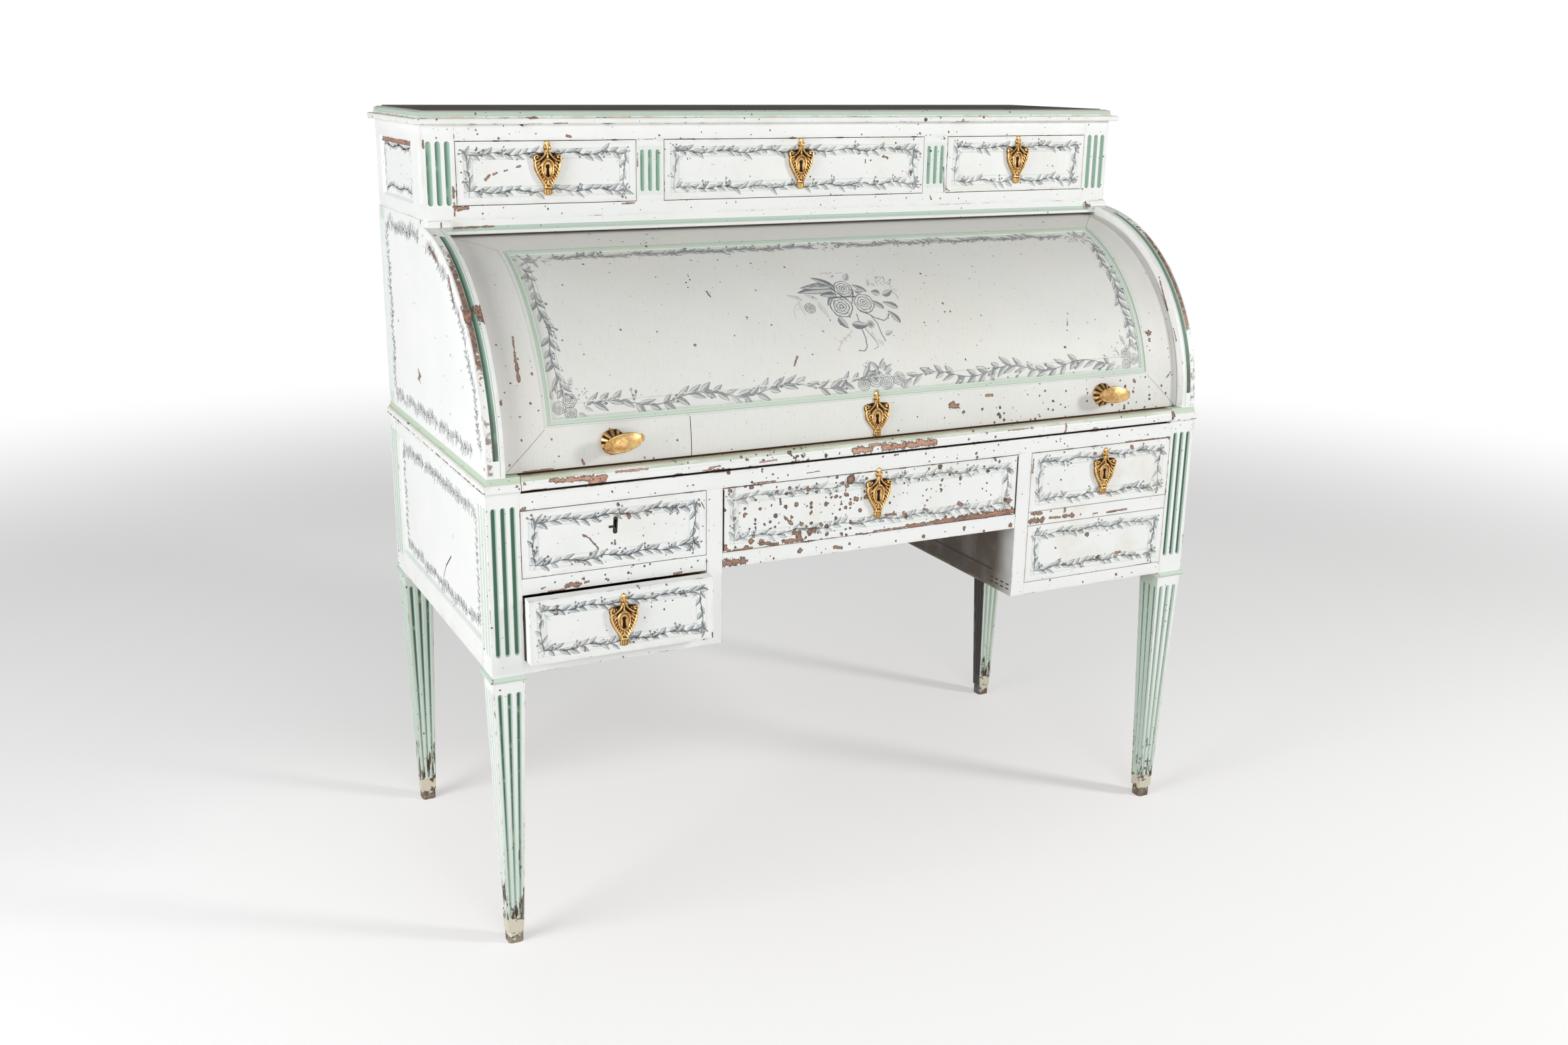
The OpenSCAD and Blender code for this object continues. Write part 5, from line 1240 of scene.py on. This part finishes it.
# The dark lines at the centre front's two ends are painted shade in the gaps beside it.
front_set("centre", (0, 660.5), 0, 547.6, 102.6, 5,
          [(270, 614, 120, 612, 15), (120, 612, 61, 612, 8), (61, 611, -4, 611, 3.5),
           (-27, 610, -36, 610, 3), (-145, 623, -141, 617, 18), (-115, 625, -122, 624, 11),
           (-168, 613, -145, 614, 9), (-210, 617, -179, 610, 8), (-257, 610, -223, 611, 4),
           (-271, 614, -263, 611, 7), (-221, 628, 5), (-165, 652, -156, 644, 6),
           (20, 635, 38, 635, 5), (53, 635, 57, 629, 8), (92, 637, 99, 634, 5),
           (161, 639, 165, 636, 8), (254, 635, 261, 632, 11), (227, 710, 229, 708, 6),
           (236, 705, 5), (123, 675, 4.5), (96, 670, 5), (-159, 701, 6.5),
           (-174, 683, -173, 676, 5), (-66, 674, 5), (-126, 667, 4.5), (-52, 676, 5), (-49, 663, 4)],
          cracks=[(-273.2, 612, -273.2, 709, 1.8), (273.2, 609, 273.2, 709, 2.2)], specks=1.4,
          flakes=1.4, dark=0.85, crowd=lambda p, x, y, z: x.fall(-60, 40) * 0.9 + 0.15)
front_set("right", (451, 596.5), 0, 295.6, 230.6, 6,
          [(310, 604, 329, 604, 7), (308, 591, 336, 592, 11), (348, 593, 369, 592, 4.5),
           (377, 593, 399, 592, 7), (349, 605, 4.5), (379, 606, 379, 601, 5), (471, 589, 514, 590, 4),
           (414, 592, 3.5), (441, 590, 450, 590, 2.5), (433, 552, 10), (460, 506, 9),
           (500, 510, 510, 510, 5), (436, 699, 8), (513, 705, 515, 702, 7), (577, 693, 6),
           (597, 711, 4), (306, 701, 306, 678, 3), (477, 554, 3.5), (367, 535, 3.5), (369, 708, 3.5)],
          parts=[((451, 660), 295.6, 104), ((451, 532), 295.6, 101.8)], specks=0.8, flakes=0.6)
front_set("top_left", (-444, UPPER_MID), UPPER_FACE, 295.6, 95.6, 7,
          [(-545, 1164, -539, 1169, 4.5), (-532, 1171, -527, 1173, 4), (-514, 1176, -510, 1177, 4),
           (-495, 1181, -489, 1183, 4), (-558, 1212, -559, 1208, 4), (-506, 1201, 4), (-584, 1191, 3),
           (-584, 1175, 3), (-493, 1193, 3), (-355, 1176, 3)], specks=0.6, flakes=0.5)
front_set("top_centre", (0, UPPER_MID), UPPER_FACE, 492.6, 95.6, 8,
          [(167, 1189, 173, 1188, 7), (131, 1183, 131, 1179, 3), (117, 1194, 3),
           (223, 1162, 223, 1156, 6), (133, 1207, 3), (-160, 1180, 3), (-90, 1160, 3),
           (-204, 1190, 4)], specks=0.9, flakes=0.6)
front_set("top_right", (444, UPPER_MID), UPPER_FACE, 295.6, 95.6, 9,
          [(297, 1130, 303, 1127, 3), (582, 1127, 3.5), (515, 1168, 3), (527, 1167, 3.5),
           (383, 1161, 3), (368, 1172, 3), (301, 1185, 2.5), (466, 1175, 2.5), (392, 1145, 4)],
          specks=0.6, flakes=0.5)

for pattern in (leaf_left, leaf_right, berries):
    bpy.data.objects.remove(pattern)

# Inside: plain beech boards, never painted. The bed under the slide, the backs and the
# pigeonholes run crosswise; the drawers' sides run from front to back.
back_wood = plain_wood("back_wood", hue(168, 138, 108), hue(134, 104, 78), board=158)
drawer_wood = plain_wood("drawer_wood", hue(186, 154, 118), hue(150, 114, 82), "y", True)
small_wood = plain_wood("small_wood", hue(188, 152, 114), hue(154, 116, 82))
for wood, names in (
        (inner_wood, ("desk_bed", "pigeonholes")), (back_wood, ("back_lower", "back_upper")),
        (drawer_wood, ("box_left_upper", "box_left_lower", "box_centre", "box_right",
                       "box_top_left", "box_top_centre", "box_top_right")),
        (small_wood, ("small_drawer_left", "small_drawer_right"))):
    for name in names:
        dress(name, wood)


# Lock plates: cast and gilt brass, with a leafy top, two scroll ears, a raised oval shield
# dished round the keyhole, a knot and a fan-shaped tassel. Each is pinned to its front.
def gilt_brass(name):
    """Gilding that has darkened in the hollows, with painted shade in holes and painted light on
    the handles' leaves; how dark each point is lies on the mesh.
    """
    material, shader, p, x, y, z = start(name)
    low = p.node("ShaderNodeAttribute", {"attribute_name": "patina_and_painted_light"}, out=2)
    low = (low + (p.noise(5, 4, 0.6) - 0.5) * 0.5).hold()
    tone = p.noise(9, 4, seed=2).rise(0.35, 0.7).blend(hue(232, 197, 136), hue(205, 160, 98))
    tone = low.rise(0.3, 0.6).blend(tone, hue(146, 105, 60))
    tone = low.rise(0.55, 0.88).blend(tone, hue(46, 35, 25))
    close(shader, tone, low * 0.35 + p.noise(7, 3, seed=3) * 0.2 + 0.2, p.noise(2.2, 3) * 0.12)
    shader.inputs["Metallic"].default_value = 0.85
    return material


def cast(name, points, faces, patina_and_painted_light):
    """A gilt casting from points in the case's millimetres."""
    made = new_piece(name, metres(points), faces, "patina_and_painted_light", patina_and_painted_light, gilding)
    made.data.shade_smooth()
    return made


gilding = gilt_brass("gilt_brass")
# Half the plate's width at heights from its foot to its top, then the ridges on its face
plate_edge = ((-40.3, 0.6), (-39.4, 5.2), (-37.5, 7.2), (-34.5, 7.7), (-32, 6.6), (-30.4, 6.4),
              (-29, 7.2), (-27.4, 6.4), (-25, 7.6), (-22, 9.6), (-18, 12.0), (-14, 14.4),
              (-10, 16.8), (-6, 18.9), (-2, 20.8), (2, 22.0), (6, 22.6), (9.5, 22.3), (11.5, 22.2),
              (14, 23.3), (17, 24.0), (20, 23.6), (22.4, 21.8), (23.9, 18.6), (24.6, 11.5),
              (25.4, 5.4), (27, 4.6), (29, 5.0), (31, 6.4), (33.5, 6.7), (36, 5.4), (37.5, 4.2),
              (39.5, 4.7), (41.5, 4.1), (43, 2.6), (43.6, 0.6))
scroll = ((2.6, 28), (3.8, 23.6), (7, 19.6), (11, 16.4), (15, 13.4), (19.3, 12.7), (21.8, 15.5),
          (21.9, 19.2), (19.3, 21.8), (16.4, 20.4), (16.3, 17.8), (18.5, 17.3))
band = ((21.0, 10.5), (20.4, 5.0), (18.8, 0.0), (16.3, -6.0), (12.8, -12.5), (9.0, -18.5),
        (5.8, -23.5), (3.4, -27.0))


def bump_at(far, wide):
    return np.exp(-(far / wide) ** 2)


def ridge(x, z, path, wide):
    """A round ridge of height 1 along a path."""
    away = np.full(x.shape, 99.0)
    for (x0, z0), (x1, z1) in zip(path, path[1:]):
        dx, dz = x1 - x0, z1 - z0
        t = np.clip(((x - x0) * dx + (z - z0) * dz) / (dx * dx + dz * dz), 0, 1)
        away = np.minimum(away, np.hypot(x - x0 - t * dx, z - z0 - t * dz))
    return bump_at(away, wide)


def plate_relief():
    """Height and place of every point of a plate, as rows of a grid, in millimetres."""
    rows, cols = 129, 65
    v = np.linspace(plate_edge[-1][0], plate_edge[0][0], rows)
    half = np.interp(v, [a for a, _ in plate_edge], [w for _, w in plate_edge])
    q = np.linspace(-1, 1, cols)
    x = (np.sign(q) * np.abs(q) ** 0.9)[None, :] * half[:, None]
    z = np.repeat(v[:, None], cols, 1)
    ax = np.abs(x)
    rim = half[:, None] - ax
    body = (z < 25.5) & (z > -27)
    e = np.hypot(x / 9.8, (z - 0.5) / 14.5)
    h = 1.3 + 3.3 * ridge(ax, z, band, 2.1) + 3.7 * ridge(ax, z, scroll, 1.45)
    h += np.where(e < 1, 1.5 - 1.1 * (1 - e * e), 0) + 2.0 * bump_at(e - 1.0, 0.12)
    h += 2.2 * ridge(ax, z, ((0, 25), (0, 16)), 1.4) + 1.6 * ridge(ax, z, ((0, -15), (0, -27)), 1.6)
    h += 1.3 * ridge(ax, z, ((2.5, 15.5), (7.5, 12), (11.2, 5)), 1.0)
    h += 0.3 * np.cos(2 * np.pi * (ax * 0.17 + z * 0.15)) * body * (e > 1.15)
    top = z > 26
    fan = np.cos(np.arctan2(x, z - 24) * 15)
    h += top * (2.3 - 1.8 * (x / (half[:, None] + 0.1)) ** 2 + 0.7 * fan)
    h += 1.5 * bump_at(np.hypot(x, z - 40.4), 2.2) + 1.6 * bump_at(np.hypot(ax - 4.2, z - 33.6), 1.7)
    knot = z < -26
    h += knot * (1.8 - 1.4 * (x / (half[:, None] + 0.1)) ** 2) + 1.8 * bump_at(z + 28.6, 1.2)
    h += 0.9 * np.cos(2 * np.pi * x / 2.7) * (z < -31)
    h *= np.clip(rim / 1.5, 0, 1) ** 0.5
    # Painted shade: the scroll's pierced eye, left solid, is painted dark.
    gap = np.clip(1.6 - np.hypot((ax - 10.6) / 2.7, (z - 22.6) / 2.2), 0, 1)
    h = np.clip(h * (1 - 0.85 * gap), 0.0, 5.9)
    near = h.copy()
    for _ in range(6):
        near = (near + np.roll(near, 1, 0) + np.roll(near, -1, 0) + np.roll(near, 1, 1)
                + np.roll(near, -1, 1)) / 5
    patina_and_painted_light = np.clip(0.3 + (near - h) * 1.2 - (h - 2.6) * 0.08, 0, 0.9)
    patina_and_painted_light = np.maximum(patina_and_painted_light, gap)
    # Painted shade: the keyhole, left nearly flat, is painted dark.
    slot = np.where(z < -1, 2.0 + np.clip(-1 - z, 0, 10) * 0.1, 2.0)
    hole = np.minimum(np.hypot(x, z - 3.6) - 3.3,
                      np.maximum(ax - slot, np.maximum(-11.0 - z, z - 3.6)))
    sunk = np.clip(0.5 - hole / 0.7, 0, 1)
    h = h * (1 - sunk) + 0.05 * sunk
    patina_and_painted_light = np.maximum(patina_and_painted_light, sunk)
    h[0], h[-1], h[:, 0], h[:, -1] = 0, 0, 0, 0
    return x, z, h, patina_and_painted_light


plate_grid = plate_relief()


def lock_plate(name, node, body, place):
    """Builds one plate; place turns its own x, z and height into the case's frame."""
    x, z, h, patina_and_painted_light = plate_grid
    rows, cols = x.shape
    points = [place(x[i, j], z[i, j], h[i, j]) for i in range(rows) for j in range(cols)]
    points += [place(x[i, j], z[i, j], -0.1) for i in range(rows) for j in (0, cols - 1)]
    n = rows * cols
    faces = [(i * cols + j, (i + 1) * cols + j, (i + 1) * cols + j + 1, i * cols + j + 1)
             for i in range(rows - 1) for j in range(cols - 1)]
    for i in range(rows - 1):
        a, b, c = i * cols, (i + 1) * cols, n + 2 * i
        faces += [(a, c, c + 2, b), (a + cols - 1, b + cols - 1, c + 3, c + 1),
                  (c, c + 1, c + 3, c + 2)]
    faces.append(tuple(range(cols)) + (n + 1, n))
    faces.append(tuple(range((rows - 1) * cols, n))[::-1] + (n + 2 * rows - 2, n + 2 * rows - 1))
    made = cast(name, points, faces, list(patina_and_painted_light.ravel()) + [0.3] * (2 * rows))
    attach(made, body)
    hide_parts(node)


for name, mid, face, high in (
        ("top_left", -445, UPPER_FACE, 1178), ("top_centre", 3.5, UPPER_FACE, 1178),
        ("top_right", 445, UPPER_FACE, 1178), ("centre", 2.6, 0, 674),
        ("left_lower", -451, -28, 531.5), ("right", 458, 0, 664)):
    lock_plate("escutcheon_" + name, "plate_" + name, "drawer_" + name,
               lambda x, z, h, a=mid, b=face, c=high: (a + x, b - h, c + z))


def plate_on_curve(x, z, h):
    """The cylinder's plate: bent to the curve, its tassel shorter to clear the slide."""
    return on_curve(5 + x, 27 + (z if z > 0 else z * 0.74), ROUND + h * 0.96)


lock_plate("escutcheon_cylinder", "plate_cylinder", "cylinder", plate_on_curve)


# Handles: two gilt pulls on the cylinder's lower rail, each a fluted rosette with a domed
# leaf in front of it, set to the right. The leaf's tip is rolled; hands have worn it smooth.
ROSETTE_X, LEAF_X, LEAF_LONG = -7, 3, 66  # from the handle's middle, in millimetres


def leaf_edge(t, upper):
    """Half the leaf's height along its length, with two notches in its lower edge."""
    base = 17.0 * math.sin(math.pi * min(1, t * 0.97 + 0.02)) ** 0.5 * (1 - 0.36 * t)
    if upper:
        return base * (1.0 - 0.25 * bump_at(t - 0.86, 0.03))
    return base * (1.0 - 0.13 * bump_at(t - 0.34, 0.025) - 0.12 * bump_at(t - 0.62, 0.025)
                   - 0.2 * bump_at(t - 0.87, 0.03))


def shell_round(j, turns):
    """How deep a point of the rosette lies in its fluting, and its angle."""
    return 1 - abs(math.cos(11 * math.pi * j / turns)), 2 * math.pi * j / turns


def pull(name, mid, turn):
    """One handle, in its own frame with y as the distance it stands out, then placed."""
    points, faces, patina_and_painted_light = [], [], []

    def skin(rows, closed, tones):
        base, n = len(points), len(rows[0])
        for row, tone in zip(rows, tones):
            points.extend(row)
            patina_and_painted_light.extend(tone)
        for i in range(len(rows) - 1):
            for j in range(n if closed else n - 1):
                k = (j + 1) % n
                faces.append((base + i * n + j, base + (i + 1) * n + j, base + (i + 1) * n + k,
                              base + i * n + k))
        faces.append(tuple(base + j for j in range(n)))
        faces.append(tuple(base + (len(rows) - 1) * n + j for j in reversed(range(n))))

    turns, rows, tones = 176, [], []
    for out, r, deep in ((-1.5, 17, 0), (0.6, 19.3, 0.4), (2, 20, 1), (3.4, 19.2, 1.2), (6, 16, 1.3),
                         (9, 12.8, 1.2), (12, 10, 1), (15, 8, 0.7), (18, 6.8, 0.3), (23, 6.4, 0),
                         (29, 7.5, 0)):
        row, tone = [], []
        for j in range(turns):
            hollow, a = shell_round(j, turns)
            far = r - deep * 1.7 * hollow ** 1.5
            row.append((ROSETTE_X + far * math.cos(a), out, far * math.sin(a)))
            tone.append(min(0.9, 0.3 + deep * 0.6 * hollow))
        rows.append(row)
        tones.append(tone)
    skin(rows, True, tones)
    rows, tones = [], []
    steps, across = 44, 22
    for i in range(steps + 1):
        t = i / steps
        along = (t - 0.5) * LEAF_LONG
        top, low = leaf_edge(t, True), leaf_edge(t, False)
        ring, tone = [], []
        for side in (1, -1):
            for j in range(across + 1):
                s = (j / across * 2 - 1) * side
                rise = s * (top if s > 0 else low) + 1.5 * math.sin(t * 3)
                dome = along ** 2 / 130 + rise ** 2 / 72
                edge = 1 - abs(s)
                out = 34.6 - dome - max(0, t - 0.88) ** 2 * 300
                out += 0.5 * bump_at(edge - 0.05, 0.05) - 0.5 * bump_at(edge - 0.14, 0.05)
                # Painted reflection and highlight: the leaf is painted darker for the dark room it
                # reflects, lighter toward its tip, with a dark rim and a painted highlight line just inside
                # it.
                shade = 0.52 - 0.3 * t + 0.4 * bump_at(edge, 0.05) - 0.25 * bump_at(edge - 0.12, 0.04)
                if side < 0:
                    out = min(out - 0.6 - 2.6 * math.sqrt(max(0, 1 - s * s)), 33)
                    shade = 0.5
                ring.append((LEAF_X + along, out, rise))
                tone.append(shade)
        rows.append(ring)
        tones.append(tone)
    first = len(points)
    skin(rows, True, tones)
    c, s = math.cos(math.radians(turn)), math.sin(math.radians(turn))
    for k in range(first, len(points)):
        a, out, b = points[k]
        points[k] = (a * c - b * s, out, a * s + b * c)
    c, s = math.cos(math.radians(5.6)), math.sin(math.radians(5.6))  # where it stands on the curve
    placed = [(mid + a, AXIS_Y - (ROUND + out) * c + b * s, AXIS_Z + (ROUND + out) * s + b * c)
              for a, out, b in points]
    return cast(name, placed, faces, patina_and_painted_light)


pulls = [pull("pull_left", -441, 10), pull("pull_right", 460, -3)]
with bpy.context.temp_override(active_object=pulls[0], object=pulls[0],
                               selected_editable_objects=pulls, selected_objects=pulls):
    bpy.ops.object.join()
pulls = pulls[0]
pulls.name = "pulls"
editing = bmesh.new()
editing.from_mesh(pulls.data)
bmesh.ops.recalc_face_normals(editing, faces=editing.faces)
editing.to_mesh(pulls.data)
editing.free()
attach(pulls, "cylinder")
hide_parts("handles")

# Studio: a white floor that keeps the desk's shadow and fades to pure white further out,
# a plain white world, three soft round lamps, and the camera where the photograph's was.
scene = bpy.context.scene
scene.view_settings.view_transform = "Standard"
PURE = (1, 1, 1, 1)
bpy.ops.mesh.primitive_circle_add(vertices=96, radius=12, fill_type="NGON")
floor = bpy.context.object
floor.name = "floor"
material = bpy.data.materials.new("floor")
material.use_nodes = True
floor.data.materials.append(material)
material.node_tree.nodes.clear()
root = Wire(material.node_tree)
reach = root.node("ShaderNodeTexCoord", out=3).vector("LENGTH", out=1)
ray = root.node("ShaderNodeLightPath")
seen = ray.highest(ray.beside("Is Glossy Ray")).highest(ray.beside("Is Transmission Ray"))
matt = root.node("ShaderNodeBsdfDiffuse", None, {"Color": (0.76, 0.76, 0.76, 1)})
glow = root.node("ShaderNodeEmission", None, {"Color": PURE, "Strength": seen * 0.36})
lit = root.node("ShaderNodeAddShader", None, {0: matt, 1: glow})
white = root.node("ShaderNodeEmission", None, {"Color": PURE, "Strength": 1})
root.node("ShaderNodeMixShader", None,
          {0: reach.rise(2.2, 4.5) * seen, 1: lit, 2: white}).end("ShaderNodeOutputMaterial")

scene.world = bpy.data.worlds.new("studio")
scene.world.use_nodes = True
scene.world.node_tree.nodes.clear()
root = Wire(scene.world.node_tree)
seen = root.node("ShaderNodeLightPath")
plain = root.node("ShaderNodeBackground", None, {"Color": PURE, "Strength": 0.2})
white = root.node("ShaderNodeBackground", None, {"Color": PURE, "Strength": 1})
root.node("ShaderNodeMixShader", None, {0: seen, 1: plain, 2: white}).end("ShaderNodeOutputWorld")

for name, place, high, wide, power, tint in (
        ("left_lamp", (-3.8, -0.9, 1.5), 0.75, 2.4, 97, (1, 1, 1)),
        ("front_lamp", (-0.8, -4.2, 1.5), 0.75, 2.4, 52, (1, 1, 1)),
        ("right_lamp", (2.9, -2.5, 2.1), 0.7, 0.7, 64, (1, 0.99, 0.97))):
    data = bpy.data.lights.new(name, "AREA")
    data.shape = "DISK"
    data.size = wide
    data.energy = power
    data.color = tint
    made = bpy.data.objects.new(name, data)
    scene.collection.objects.link(made)
    made.location = place
    made.rotation_mode = "QUATERNION"
    made.rotation_quaternion = (Vector((0, 0, high)) - Vector(place)).to_track_quat("-Z", "Y")

camera_at = (-1.2296, -2.3756, 1.3350)
azimuth, elevation, roll = map(math.radians, (-25.849, 16.818, 0.6495))
back = Vector((math.sin(azimuth) * math.cos(elevation), -math.cos(azimuth) * math.cos(elevation),
               math.sin(elevation)))
right = Vector((0, 0, 1)).cross(back).normalized()
up = back.cross(right)
right, up = (math.cos(roll) * right + math.sin(roll) * up,
             -math.sin(roll) * right + math.cos(roll) * up)
view = bpy.data.cameras.new("view")
view.sensor_width = 36
view.lens = 35.43
view.shift_x, view.shift_y = 0.01747, 0.00718
camera = bpy.data.objects.new("view", view)
scene.collection.objects.link(camera)
camera.matrix_world = Matrix([*zip(right, up, back, camera_at), (0, 0, 0, 1)])
scene.camera = camera
